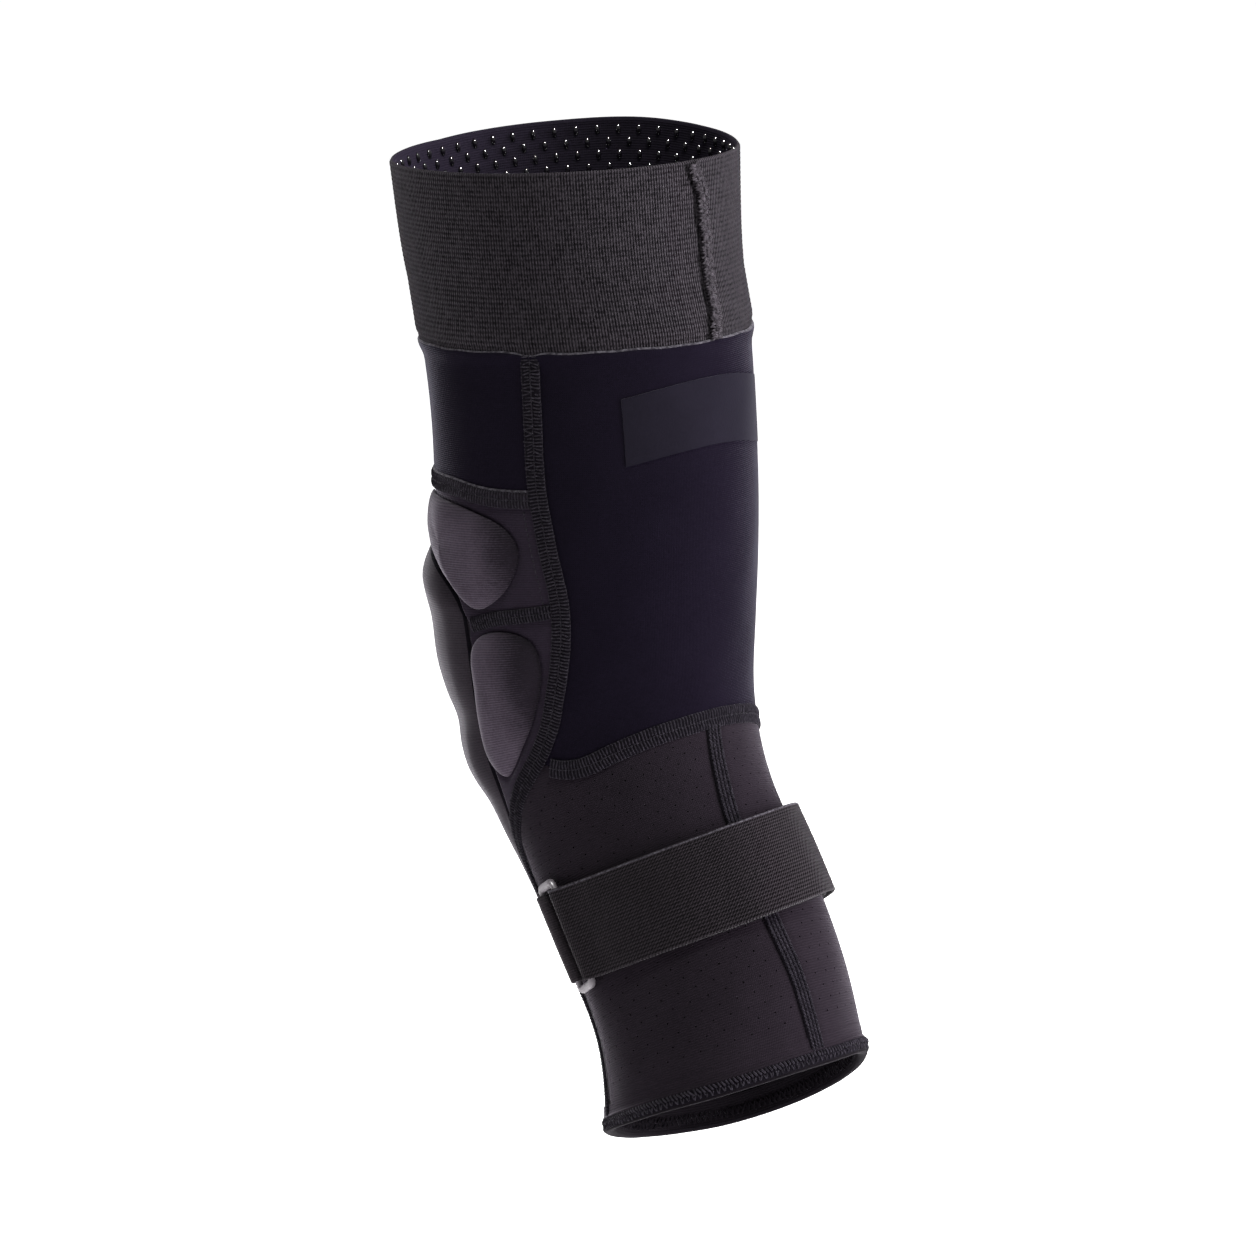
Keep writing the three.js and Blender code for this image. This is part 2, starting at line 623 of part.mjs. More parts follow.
// The side seam narrows where it becomes the seam between shin and calf.
function sideWidth(down) {
  return lerp(SEAM_WIDTH.side, SEAM_WIDTH.shin, smoothstep(down, SIDE_TAPER.from, SIDE_TAPER.to));
}
const sideDowns = spread(PANEL_TOP + GAP, PANEL_END - GAP, SEAM.traced);
const sidePath = sideDowns.map((down) => ({ turn: sideTurn(down), down }));
const otherPath = sidePath.map(({ turn, down }) => ({ turn: -turn, down }));
add("side_seam_left", strip(sidePath, { widthAt: sideWidth }), MATERIAL.thread);
add("side_seam_right", strip(otherPath, { widthAt: sideWidth, edges: [1, 0] }), MATERIAL.thread);
const midEnd = beside(sideTurn(YOKE_EDGE.at(-1).down), SEAM_WIDTH.side);
const midPath = spread(MID_SEAM_START, midEnd, SEAM.traced).map((turn) => ({ turn, down: yokeDown(turn) }));
const midStrip = strip(midPath, { widthAt: () => SEAM_WIDTH.mid });
const lowerStart = COVER_CORNER.turn + BUTT;
const lowerPanel = panel({
  west: (down) => coverTurn(down) + BUTT,
  east: (down) => sideTurn(down) - BUTT,
  north: (turn) => yokeDown(turn) + BUTT,
  south: () => LOWER_PANEL_TIP,
  us: [0, ...SIDE_COLUMNS.map((turn) => (turn - lowerStart) / (yokeEnd - lowerStart)), 1],
  vs: spread(0, 1, 1 / 9),
  outer: flatOuter,
  inner: () => -WALL.padded,
});
const PAIRS = [
  { name: "lower_side_panel", geometry: lowerPanel, material: MATERIAL.padded },
  { name: "upper_side_pad", geometry: dome(UPPER_PAD), material: MATERIAL.padded },
  { name: "lower_side_pad", geometry: dome(LOWER_PAD), material: MATERIAL.padded },
  { name: "mid_seam", geometry: midStrip, material: MATERIAL.thread },
];
for (const { name, geometry, material } of PAIRS) {
  add(name + "_left", geometry, material);
  add(name + "_right", mirrored(geometry), material);
}

// The same geometry on the other side of the leg, with its faces turned back outwards.
function mirrored(geometry) {
  const other = geometry.clone().scale(-1, 1, 1);
  const index = Array.from(other.index.array);
  for (let i = 0; i < index.length; i += 3) {
    [index[i + 1], index[i + 2]] = [index[i + 2], index[i + 1]];
  }
  return other.setIndex(index);
}

// The hem is the sleeve's end turned in and overlocked: a rounded hoop a little proud of the panels.
add(
  "hem_band",
  hoop([
    { down: HEM.from, out: HEM.proud - GAP },
    { down: HEM.from + HEM.rim, out: HEM.proud },
    { down: HEM.to - HEM.rim, out: HEM.proud },
    { down: HEM.to, out: HEM.proud - HEM.rim },
    { down: HEM.to, out: HEM.rim - HEM.inside },
    { down: HEM.to - HEM.rim, out: -HEM.inside },
    { down: HEM.from, out: -HEM.inside },
  ]),
  MATERIAL.calf,
);

// The ring lies flat on the side of the calf; its rear bar carries the strap and its front bar the tab.
const barTurn = (RING.half - RING.bar / 2) / DEGREE_AT_STRAP;
function ring() {
  const slab = (halfWide, halfLong, round) => {
    const shape = new THREE.Shape();
    const path = [[1, 1, 0], [-1, 1, 90], [-1, -1, 180], [1, -1, 270]];
    for (const [x, y, start] of path) {
      const [from, to] = [degToRad(start), degToRad(start + 90)];
      shape.absarc(x * (halfWide - round), y * (halfLong - round), round, from, to, false);
    }
    return shape;
  };
  const inset = RING.bevel;
  const halfLong = RING.slot / 2 + RING.bar;
  const outline = slab(RING.half - inset, halfLong - inset, RING.corner - inset);
  outline.holes.push(slab(RING.half - RING.bar + inset, RING.slot / 2 + inset, inset + THREAD.clear));
  const geometry = new THREE.ExtrudeGeometry(outline, {
    depth: RING.bar - 2 * inset,
    bevelThickness: inset,
    bevelSize: inset,
    bevelSegments: 1,
    curveSegments: 3,
  });
  geometry.translate(0, 0, inset - RING.bar / 2);
  const middle = strapLine(RING.turn).down;
  const height = BAR_OUT - THREAD.sink;
  const end = (way) => onLeg(RING.turn, middle - way * halfLong, height);
  const bar = (way) => onLeg(RING.turn + way * barTurn, middle, height);
  const up = end(1).sub(end(-1)).normalize();
  const away = new THREE.Vector3().crossVectors(bar(1).sub(bar(-1)), up).normalize();
  const across = new THREE.Vector3().crossVectors(up, away);
  const frame = new THREE.Matrix4().makeBasis(across, up, away);
  frame.setPosition(onLeg(RING.turn, middle, height));
  return geometry.applyMatrix4(frame);
}
add("strap_ring", ring(), MATERIAL.ring);
add(
  "strap",
  threaded({
    ...STRAP,
    bar: RING.turn + barTurn,
    way: 1,
    innerEnd: STRAP.anchor,
    under: (turn) => strapRide(turn).low + STRAP.thick / 2,
    over: (turn) => strapRide(turn).low + 1.5 * STRAP.thick + strapRide(turn).slack,
  }),
  MATERIAL.strap,
);
add(
  "ring_tab",
  threaded({
    ...TAB,
    bar: RING.turn - barTurn,
    way: -1,
    innerEnd: TAB.end,
    outerEnd: TAB.end,
    under: () => TAB.low + TAB.thick / 2,
    over: () => TAB.low + 1.5 * TAB.thick + GAP,
  }),
  MATERIAL.strap,
);

export default guard;
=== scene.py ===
import math

import bpy
import numpy as np
from mathutils import Matrix, Vector


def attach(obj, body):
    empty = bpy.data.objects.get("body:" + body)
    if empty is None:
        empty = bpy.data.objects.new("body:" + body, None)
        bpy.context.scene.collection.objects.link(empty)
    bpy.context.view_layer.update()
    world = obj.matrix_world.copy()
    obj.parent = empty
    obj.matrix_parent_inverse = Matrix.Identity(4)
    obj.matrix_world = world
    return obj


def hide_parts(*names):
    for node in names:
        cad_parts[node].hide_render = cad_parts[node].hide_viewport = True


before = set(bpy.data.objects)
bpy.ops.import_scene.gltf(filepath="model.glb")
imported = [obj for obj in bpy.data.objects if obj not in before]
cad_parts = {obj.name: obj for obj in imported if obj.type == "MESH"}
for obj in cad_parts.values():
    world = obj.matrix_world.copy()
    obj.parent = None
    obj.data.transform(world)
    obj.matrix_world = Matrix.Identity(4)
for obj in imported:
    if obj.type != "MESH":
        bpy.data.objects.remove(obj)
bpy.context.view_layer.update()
bpy.ops.object.select_all(action="DESELECT")

# The thigh cuff: a 70 mm band of wide elastic, knitted in fine raised rows and sewn into a hoop.
# It is drawn, as every piece is, on the form of the leg inside: "turn" is the angle in degrees round the leg
# from the front towards +X, "down" is millimetres along the sleeve from its rim, "out" is off its face.
MM = 0.001
SLEEVE = 381
LEG = [  # down, lean, half width, depth to the front, depth to the back
    (0, 2.4, 68.2, 74, 62.4),
    (38, 2.8, 66, 68, 63.9),
    (76, 3.3, 64.1, 56.3, 69.8),
    (114, 4.3, 62.6, 54, 71.4),
    (152, 5.4, 62, 60.2, 69.6),
    (191, 8.8, 59, 61, 64.6),
    (229, 17.8, 54, 55.3, 59),
    (267, 28.1, 50, 46.1, 57.8),
    (305, 31.8, 49.9, 42.8, 59.5),
    (343, 29.2, 50.8, 42, 57.2),
    (381, 25.8, 53.9, 60.4, 45.6),
]
ENDS = [  # turn, how far down the rim and the hem lie from level
    (0, 1.2, 0), (40, 2.2, -4), (90, 0.8, -2.2), (134, 0, 0), (180, 0, -0.5), (230, 0, -1.8),
    (260, -1.7, 2), (290, -3.8, 5), (320, -2.2, 4.8), (345, -0.2, 2), (360, 1.2, 0),
]
KNEE_DOWN, KNEE_Y, KNEE_Z = 190, 3.1, -12.8
RIM_FADE, HEM_FADE = 60, 325
SMOOTH_UNDER, LOOKS_IN = 55, -0.4


def through(rows, column=1):
    """A smooth curve through a table's rows, as a function of its first column."""
    at = np.array([row[0] for row in rows], float)
    value = np.array([row[column] for row in rows], float)
    secant = np.diff(value) / np.diff(at)
    slope = np.concatenate([secant[:1], (secant[1:] + secant[:-1]) / 2, secant[-1:]])

    def read(x):
        x = np.clip(x, at[0], at[-1])
        i = np.clip(np.searchsorted(at, x, side="right") - 1, 0, len(at) - 2)
        span = at[i + 1] - at[i]
        p = (x - at[i]) / span
        start = value[i] * (1 + 2 * p) + slope[i] * span * p
        end = value[i + 1] * (3 - 2 * p) - slope[i + 1] * span * (1 - p)
        return start * (1 - p) ** 2 + end * p**2

    return read


def ease(x, low, high):
    """0 below low, 1 above high, smooth between."""
    p = np.clip((x - low) / (high - low), 0, 1)
    return p * p * (3 - 2 * p)


lean_at, half_at, front_at, back_at = (through(LEG, column) for column in (1, 2, 3, 4))
rim_at, hem_at = through(ENDS, 1), through(ENDS, 2)
leans = np.radians(lean_at(np.arange(SLEEVE) + 0.5))
centre_y = np.concatenate([[0], np.cumsum(np.sin(leans))])
centre_z = np.concatenate([[0], np.cumsum(-np.cos(leans))])
centre_y += KNEE_Y - centre_y[KNEE_DOWN]
centre_z += KNEE_Z - centre_z[KNEE_DOWN]


def on_leg(turn, level, out=0.0):
    """The point, in metres, at a turn round the leg, a level down the sleeve and a height off its face."""
    turn, level, out = np.broadcast_arrays(*(np.asarray(x, float) for x in (turn, level, out)))
    around = np.mod(turn, 360)
    near_rim = 1 - ease(level, 0, RIM_FADE)
    near_hem = ease(level, HEM_FADE, SLEEVE)
    down = level + rim_at(around) * near_rim + hem_at(around) * near_hem
    i = np.clip(np.floor(down), 0, SLEEVE - 1).astype(int)
    part = down - i
    y = centre_y[i] * (1 - part) + centre_y[i + 1] * part
    z = centre_z[i] * (1 - part) + centre_z[i + 1] * part
    side, ahead = np.sin(np.radians(turn)), np.cos(np.radians(turn))
    half = half_at(down)
    depth = np.where(ahead > 0, front_at(down), back_at(down))
    long = np.hypot(depth * side, half * ahead)
    across = half * side + depth * side / long * out
    behind = -depth * ahead - half * ahead / long * out
    lean = np.radians(lean_at(down))
    return np.stack([across, y + behind * np.cos(lean), z + behind * np.sin(lean)], -1) * MM


def sheet_part(outer, inner, uv, hoop=False):
    """A sheet with two faces and closed rims, from points in columns round the leg and rows down it.
    A hoop's last column repeats its first."""
    columns, rows = uv.shape[:2]
    kept = columns - 1 if hoop else columns
    number = np.arange(kept * rows).reshape(kept, rows)
    if hoop:
        number = np.vstack([number, number[:1]])
    i, j = np.meshgrid(np.arange(columns - 1), np.arange(rows - 1), indexing="ij")
    corners = [(i, j), (i, j + 1), (i + 1, j + 1), (i + 1, j)]
    face = np.stack([number[at] for at in corners], -1).reshape(-1, 4)
    face_uv = np.stack([uv[at] for at in corners], -2).reshape(-1, 4, 2)
    inside = number + kept * rows
    faces, uvs = [face, face[:, ::-1] + kept * rows], [face_uv, face_uv[:, ::-1]]
    rims = [(number[:, 0], inside[:, 0], uv[:, 0]), (number[::-1, -1], inside[::-1, -1], uv[::-1, -1])]
    if not hoop:
        rims.append((number[0, ::-1], inside[0, ::-1], uv[0, ::-1]))
        rims.append((number[-1], inside[-1], uv[-1]))
    for edge, back, edge_uv in rims:
        faces.append(np.stack([edge[:-1], edge[1:], back[1:], back[:-1]], -1))
        uvs.append(np.stack([edge_uv[:-1], edge_uv[1:], edge_uv[1:], edge_uv[:-1]], -2))
    points = np.concatenate([outer[:kept].reshape(-1, 3), inner[:kept].reshape(-1, 3)])
    return points, np.concatenate(faces).tolist(), np.concatenate(uvs).reshape(-1, 2)


def leg_sheet(turn, down, outer, inner, girth, hoop=False):
    """A sheet on the leg, from the heights of its two faces; girth is millimetres of cloth to a degree."""
    turn, down = np.broadcast_arrays(turn, down)
    uv = np.stack([turn * girth, down], -1) * MM
    return sheet_part(on_leg(turn, down, outer), on_leg(turn, down, inner), uv, hoop)


def gather(*parts):
    """Several parts as one."""
    points, faces, uvs = [], [], []
    for part_points, part_faces, part_uvs in parts:
        start = sum(len(p) for p in points)
        points.append(part_points)
        faces += [[start + corner for corner in face] for face in part_faces]
        uvs.append(part_uvs)
    return np.concatenate(points), faces, np.concatenate(uvs)


def make_piece(name, parts, *materials):
    """One object from several parts, each with its own material, its place in its mesh."""
    points, faces, uvs = gather(*parts)
    finish = [min(k, len(materials) - 1) for k, part in enumerate(parts) for _ in part[1]]
    mesh = bpy.data.meshes.new(name)
    mesh.from_pydata(points.tolist(), [], faces)
    mesh.uv_layers.new(name="cloth").data.foreach_set("uv", uvs.astype(np.float32).ravel())
    for material in materials:
        mesh.materials.append(material)
    mesh.polygons.foreach_set("material_index", finish)
    piece = bpy.data.objects.new(name, mesh)
    bpy.context.scene.collection.objects.link(piece)
    piece.select_set(True)
    bpy.context.view_layer.objects.active = piece
    bpy.ops.object.shade_smooth_by_angle(angle=math.radians(SMOOTH_UNDER))
    piece.select_set(False)
    return piece


def fix(piece, slot, *nodes):
    """The piece rides on the sleeve and stands for its CAD solid; the slot it is given is not used."""
    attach(piece, "root")
    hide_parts(*nodes)


def node(material, kind, settings=(), **sockets):
    """A shader node with its settings and its sockets, each a number, a colour or another node's output."""
    made = material.node_tree.nodes.new("ShaderNode" + kind)
    for key, value in dict(settings).items():
        setattr(made, key, value)
    for key, value in sockets.items():
        socket = made.inputs[int(key[1:])] if key[1:].isdigit() else made.inputs[key.replace("_", " ")]
        if isinstance(value, bpy.types.NodeSocket):
            material.node_tree.links.new(value, socket)
        else:
            socket.default_value = value
    return made.outputs


def calc(material, what, first, second=0.0, third=0.0):
    """One sum in a shader."""
    return node(material, "Math", {"operation": what}, _0=first, _1=second, _2=third)[0]


def weighed(material, *shares):
    """The sum of several values in a shader, each times its weight."""
    total = 0.0
    for value, weight in shares:
        total = calc(material, "MULTIPLY_ADD", value, weight, total)
    return total


def wave(material, along, pitch):
    """Ridges of a pitch in metres along a coordinate, from 0 to 1."""
    swing = calc(material, "SINE", calc(material, "MULTIPLY", along, math.tau / pitch))
    return calc(material, "MULTIPLY_ADD", swing, 0.5, 0.5)


def cloth_coordinates(material):
    """The way round and the way down a cloth, in metres."""
    flat = node(material, "UVMap", {"uv_map": "cloth"})[0]
    split = node(material, "SeparateXYZ", Vector=flat)
    return split[0], split[1]


def grain(material, size, detail=2.0):
    """Fine noise of about that size in metres, from 0 to 1."""
    place = node(material, "TexCoord")["Object"]
    return node(material, "TexNoise", Vector=place, Scale=1 / size, Detail=detail)[0]


def spread(material, value, low, high):
    """A value stretched so that low becomes 0 and high becomes 1."""
    return node(material, "MapRange", Value=value, From_Min=low, From_Max=high)[0]


def feed(material, value, socket):
    """Joins a value that varies over the surface to the shader."""
    material.node_tree.links.new(value, material.node_tree.nodes["Principled BSDF"].inputs[socket])


def tint(material, mix, dark, light):
    """Colours a surface between two tones."""
    tone = node(material, "Mix", {"data_type": "RGBA"}, Factor=mix, _6=(*dark, 1), _7=(*light, 1))
    feed(material, tone[2], "Base Color")


def finish_cloth(material, height, mix, dark, light, bump):
    """Colours a cloth between two tones and raises its surface, in metres."""
    tint(material, mix, dark, light)
    feed(material, node(material, "Bump", Strength=1.0, Distance=bump, Height=height)[0], "Normal")


def new_finish(name, **same_all_over):
    """A material with what is the same all over the surface, set on the shader itself."""
    material = bpy.data.materials.new(name)
    material.use_nodes = True
    shader = material.node_tree.nodes["Principled BSDF"]
    for key, value in same_all_over.items():
        shader.inputs[key.replace("_", " ")].default_value = value
    return material


def new_cloth(name, rough, gloss, sheen, sheen_rough, sheen_tint):
    """A fabric's finish: how rough and glossy it is, and the sheen of its fibres."""
    return new_finish(
        name, Roughness=rough, Specular_IOR_Level=gloss, Sheen_Weight=sheen, Sheen_Roughness=sheen_rough,
        Sheen_Tint=(*sheen_tint, 1),
    )


def fine_knit(name, dark, light, sheen, sheen_tint, crown=None):
    """The shader of a fine knit with close level rows, faint wales and a slight unevenness of the dye.
    Crown gives four places round the leg: between the middle two the knit keeps its full tone, and towards
    the first and past the last it is painted darker, painted shade for the flanks of a dome that turn from
    the light."""
    material = new_cloth(name, 0.9, 0.03, sheen, 0.3, sheen_tint)
    around, down = cloth_coordinates(material)
    rows, wales = wave(material, down, 0.00095), wave(material, around, 0.0008)
    fleck, cloud = grain(material, 0.0009, 1.0), grain(material, 0.012, 3.0)
    height = weighed(material, (wales, 0.25), (rows, 0.75))
    tones = [(cloud, 0.4), (fleck, 0.4), (rows, 0.3)]
    if crown:
        front, lit_from, lit_to, back = crown
        # Painted shade: darker towards the front of the crown band, and much darker past its back.
        tones.append((spread(material, around, lit_from, front), -0.3))
        tones.append((spread(material, around, lit_to, back), -0.88))
    finish_cloth(material, height, weighed(material, *tones), dark, light, 0.00012)
    return material


def line_and_shade_inside(piece, lining_and_shade):
    """The faces that look in at the leg take the inside finish given: the cuff's lining for the cuff, and
    painted shade for the sleeve's inside on the other pieces.
    """
    piece.data.materials.append(lining_and_shade)
    for face in piece.data.polygons:
        axis_y = np.interp(-face.center.z, -centre_z * MM, centre_y * MM)
        outward = Vector((face.center.x, face.center.y - axis_y, 0)).normalized()
        if face.normal.dot(outward) < LOOKS_IN:
            face.material_index = len(piece.data.materials) - 1


CUFF_LENGTH, CUFF_END, CUFF_WALL, CUFF_FLARE, FLARE_FROM = 70, 72, 2, 1.6, 47
RIB, RIB_HIGH, WALE = 1.9, 0.14, 1.2
CUFF_COLUMNS, ROWS_PER_RIB, CUFF_GIRTH = 132, 4, 1.19
CUFF_DRAWN, DRAWN_FROM, CUFF_LIP = 1.0, 65, 0.5
SEAM_TURN, SEAM_WIDE, GROOVE_DEEP, GROOVE_WIDE = 186, 6.8, 0.7, 0.5
RIM_BEND, BEND_OVER, SEAM_DRIFT, DRIFT_FROM = -4.5, 9, -1.8, 45

cuff_knit = new_cloth("cuff_knit", 0.95, 0.03, 0.06, 0.3, (0.9, 0.86, 0.94))
cuff_u, cuff_v = cloth_coordinates(cuff_knit)
cuff_rows = wave(cuff_knit, cuff_v, RIB * MM)
cuff_wales = wave(cuff_knit, cuff_u, WALE * MM)
cuff_loops = calc(cuff_knit, "MULTIPLY", calc(cuff_knit, "MULTIPLY_ADD", cuff_rows, 0.6, 0.4), cuff_wales)
cuff_flecks = grain(cuff_knit, 0.0012, 1.0)
cuff_height = calc(cuff_knit, "ADD", cuff_flecks, cuff_loops)
cuff_heather = weighed(cuff_knit, (cuff_height, 1.0), (grain(cuff_knit, 0.0045, 3.0), 0.55))
# Painted highlight: the knit is painted lighter in a thin line along the rim, where the rolled edge catches
# the light.
cuff_rim_highlight = calc(cuff_knit, "MULTIPLY", spread(cuff_knit, cuff_v, 0.0013, 0.0006), 0.75)
cuff_tone = calc(cuff_knit, "MAXIMUM", spread(cuff_knit, cuff_heather, 0.72, 1.6), cuff_rim_highlight)
finish_cloth(cuff_knit, cuff_height, cuff_tone, (0.002, 0.0016, 0.0023), (0.036, 0.031, 0.037), 0.0005)
cuff_lining = fine_knit(
    "cuff_lining", (0.008, 0.0058, 0.0115), (0.024, 0.019, 0.032), 0.05, (0.9, 0.82, 0.98)
)


def cuff_out(down):
    """The cuff flares over the panels below it and is drawn in again where they are sewn to it."""
    flare = np.clip((down - FLARE_FROM) / (CUFF_LENGTH - FLARE_FROM), 0, 1)
    drawn = CUFF_DRAWN * ease(down, DRAWN_FROM, CUFF_LENGTH) + CUFF_LIP * ease(down, CUFF_LENGTH, CUFF_END)
    return CUFF_FLARE * flare - drawn


def seam_wander(down):
    """How far the back seam strays to either side on its way down, in degrees; it bends at the rim."""
    bend = RIM_BEND * np.exp(-((down / BEND_OVER) ** 2)) + SEAM_DRIFT * ease(down, DRIFT_FROM, CUFF_LENGTH)
    return bend + 0.35 * np.sin(down / 4.1) + 0.25 * np.sin(down / 2.3 + 1)


beside_seam = np.arange(SEAM_TURN - 9.5, SEAM_TURN, 0.25)
cuff_turns = np.union1d(np.linspace(0, 360, CUFF_COLUMNS + 1), beside_seam)[:, None]
cuff_downs = np.linspace(0, CUFF_END, round(CUFF_END / RIB * ROWS_PER_RIB) + 1)[None, :]
rounded = 0.7 * (1 - ease(cuff_downs, 0, 0.9)) + 0.3 * ease(cuff_downs, CUFF_END - 0.6, CUFF_END)
ribs = RIB_HIGH * np.cos(math.tau * cuff_downs / RIB) * ease(cuff_downs, 0.5, 2)
groove_off = (cuff_turns - SEAM_TURN - seam_wander(cuff_downs)) * CUFF_GIRTH + SEAM_WIDE / 2 + 0.6
groove = GROOVE_DEEP * np.exp(-((groove_off / GROOVE_WIDE) ** 2)) * ease(cuff_downs, 0.5, 3)
cuff_face = cuff_out(cuff_downs) + ribs / 2 - rounded - groove
cuff_under = -CUFF_WALL + rounded - ribs / 8
cuff_part = leg_sheet(cuff_turns, cuff_downs, cuff_face, cuff_under, CUFF_GIRTH, hoop=True)
cuff = make_piece("elastic_cuff", [cuff_part], cuff_knit)
line_and_shade_inside(cuff, cuff_lining)
fix(cuff, "cuff_knit", "cuff")

# Grip drops: small ovals of clear silicone printed inside the cuff in staggered rows, to hold it on the skin.
# Each is a flattened dome, glossy where the cloth is dull.
DROP_WIDE, DROP_TALL, DROP_HIGH, DROP_SKIRT, DROP_SINK = 2.2, 4.3, 1.1, 0.1, 0.12
DROP_APART, DROP_ROW, DROPS_FROM, DROPS_TO = 8.4, 4.7, 4.5, 64

silicone = new_finish(
    "grip_silicone", Specular_IOR_Level=0.1, Coat_Weight=1.0, Coat_IOR=1.8, Coat_Roughness=0.05
)
silicone_smear = grain(silicone, 0.0012)
feed(silicone, node(silicone, "MapRange", Value=silicone_smear, To_Min=0.12, To_Max=0.3)[0], "Roughness")
tint(silicone, silicone_smear, (0.004, 0.0033, 0.005), (0.014, 0.012, 0.017))

bpy.ops.mesh.primitive_uv_sphere_add(segments=8, ring_count=6, radius=1)
drop = bpy.context.object
drop.scale = (DROP_WIDE / 2 * MM, DROP_TALL / 2 * MM, DROP_HIGH * MM)
bpy.ops.object.transform_apply(scale=True)
bpy.ops.object.mode_set(mode="EDIT")
bpy.ops.mesh.select_all(action="SELECT")
bpy.ops.mesh.bisect(
    plane_co=(0, 0, -DROP_SKIRT * DROP_HIGH * MM), plane_no=(0, 0, 1), clear_inner=True, use_fill=True
)
bpy.ops.object.mode_set(mode="OBJECT")


def take_master(piece):
    """The points and faces of a piece that was modelled once to be copied; the piece itself goes."""
    points = np.array([vertex.co for vertex in piece.data.vertices])
    faces = [list(face.vertices) for face in piece.data.polygons]
    bpy.data.objects.remove(piece)
    return points, faces


def copies(master, places, x_axes, y_axes, z_axes):
    """A part made of copies of a master, one at each place and along the axes given for it."""
    points, faces = master
    moved = places[:, None] + sum(
        points[None, :, k, None] * axes[:, None] for k, axes in enumerate((x_axes, y_axes, z_axes))
    )
    many = [[n * len(points) + corner for corner in face] for n in range(len(places)) for face in faces]
    return moved.reshape(-1, 3), many, np.zeros((sum(len(face) for face in many), 2))


def unit(vectors):
    return vectors / np.linalg.norm(vectors, axis=-1, keepdims=True)


def leg_axes(turn, down, out):
    """Unit vectors round the leg, up it and away from it."""
    around = unit(on_leg(turn + 0.5, down, out) - on_leg(turn - 0.5, down, out))
    up = unit(on_leg(turn, down - 0.5, out) - on_leg(turn, down + 0.5, out))
    away = unit(np.cross(around, up))
    return around, np.cross(away, around), away


drop_count = round(360 * CUFF_GIRTH / DROP_APART)
drop_rows = np.arange(DROPS_FROM, DROPS_TO, DROP_ROW)
drop_turn, drop_down = (
    grid.ravel() for grid in np.meshgrid(np.arange(drop_count) * 360 / drop_count, drop_rows, indexing="ij")
)
drop_turn = drop_turn + np.where(np.round((drop_down - DROPS_FROM) / DROP_ROW) % 2, 180 / drop_count, 0)
drop_around, drop_up, drop_away = leg_axes(drop_turn, drop_down, -CUFF_WALL)
drop_places = on_leg(drop_turn, drop_down, -CUFF_WALL - DROP_SINK)
drops_part = copies(take_master(drop), drop_places, -drop_around, drop_up, -drop_away)
drops = make_piece("grip_drops", [drops_part], silicone)
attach(drops, "root")

# The cuff's back seam: the band's two ends overlocked together and laid to one side, so a soft ridge of
# thread loops stands up on the back of the thigh, with one row of straight stitches beside it.
SEAM_FROM, SEAM_TO = 1.2, 69.2
THREAD_THICK, STITCH_APART, STITCH_BENDS, STITCH_BOW = 0.6, 1.33, (-0.22, 0.22), 0.55
LOOP_WILD = 0.3
LOOP_ROWS = [  # offset across the seam, length, lean along it, height
    (2.4, 1.9, 0.35, 1.35), (1.1, 1.9, -0.35, 1.45), (-0.3, 1.9, 0.35, 1.35), (-1.6, 1.6, -0.35, 1.1),
]
CUFF_RIDGE = [  # across the seam as a share of half its width, and height
    (-1, 0.15), (-0.94, 0.9), (-0.75, 1.35), (-0.4, 1.45), (0, 1.35), (0.4, 1.15), (0.75, 0.85), (0.93, 0.5),
    (1, 0.15), (0, 0.12),
]


def flecked(name, rough, gloss, sheen, sheen_tint, size, dark, light, bump, low=0.3, high=0.7):
    """The finish of thread or a cut edge: flecks of a size in metres, between two tones."""
    material = new_cloth(name, rough, gloss, sheen, 0.3, sheen_tint)
    fleck = spread(material, grain(material, size), low, high)
    finish_cloth(material, fleck, fleck, dark, light, bump)
    return material


thread = flecked(
    "seam_thread", 0.8, 0.06, 0.12, (0.88, 0.85, 0.95), 0.0012,
    (0.0062, 0.0051, 0.0077), (0.0268, 0.0229, 0.0308), 0.0002,
)
overlock = flecked(
    "overlock_thread", 0.9, 0.04, 0.12, (0.9, 0.87, 0.94), 0.0016,
    (0.012, 0.0103, 0.0125), (0.068, 0.0595, 0.07), 0.0003,
)

bpy.ops.mesh.primitive_cylinder_add(
    vertices=5, radius=THREAD_THICK / 2 * MM, depth=MM, end_fill_type="NGON", rotation=(0, math.pi / 2, 0)
)
stitch = bpy.context.object
bpy.ops.object.transform_apply(rotation=True)
bpy.ops.object.mode_set(mode="EDIT")
for bend in STITCH_BENDS:
    bpy.ops.mesh.select_all(action="SELECT")
    bpy.ops.mesh.bisect(plane_co=(bend * MM, 0, 0), plane_no=(1, 0, 0))
bpy.ops.object.mode_set(mode="OBJECT")
for vertex in stitch.data.vertices:
    vertex.co.z += STITCH_BOW * THREAD_THICK * MM * (1 - (2 * vertex.co.x / MM) ** 2)
stitch_master = take_master(stitch)
needle = np.random.default_rng(11)


def walk(points):
    """The way walked to each point of a line."""
    return np.concatenate([[0], np.cumsum(np.linalg.norm(np.diff(points, axis=0), axis=1))])


def along(turn, down, step):
    """A path at even steps along the sleeve, in millimetres, and the way walked to each."""
    turn, down = np.broadcast_arrays(np.asarray(turn, float), np.asarray(down, float))
    walked = walk(on_leg(turn, down) / MM)
    at = np.linspace(0, walked[-1], max(3, round(walked[-1] / step) + 1))
    return np.interp(at, walked, turn), np.interp(at, walked, down), at


def path_axes(turn, down, out):
    """Points on a path and unit vectors ahead along it, across it and away from the leg."""
    here = on_leg(turn, down, out)
    ahead = unit(np.gradient(here, axis=0))
    across = unit(np.cross(ahead, leg_axes(turn, down, out)[2]))
    return here, ahead, across, np.cross(across, ahead)


def at_corners(uv, faces):
    """Each point's place on the cloth, once for every corner of a face that uses it."""
    return uv[[corner for face in faces for corner in face]]


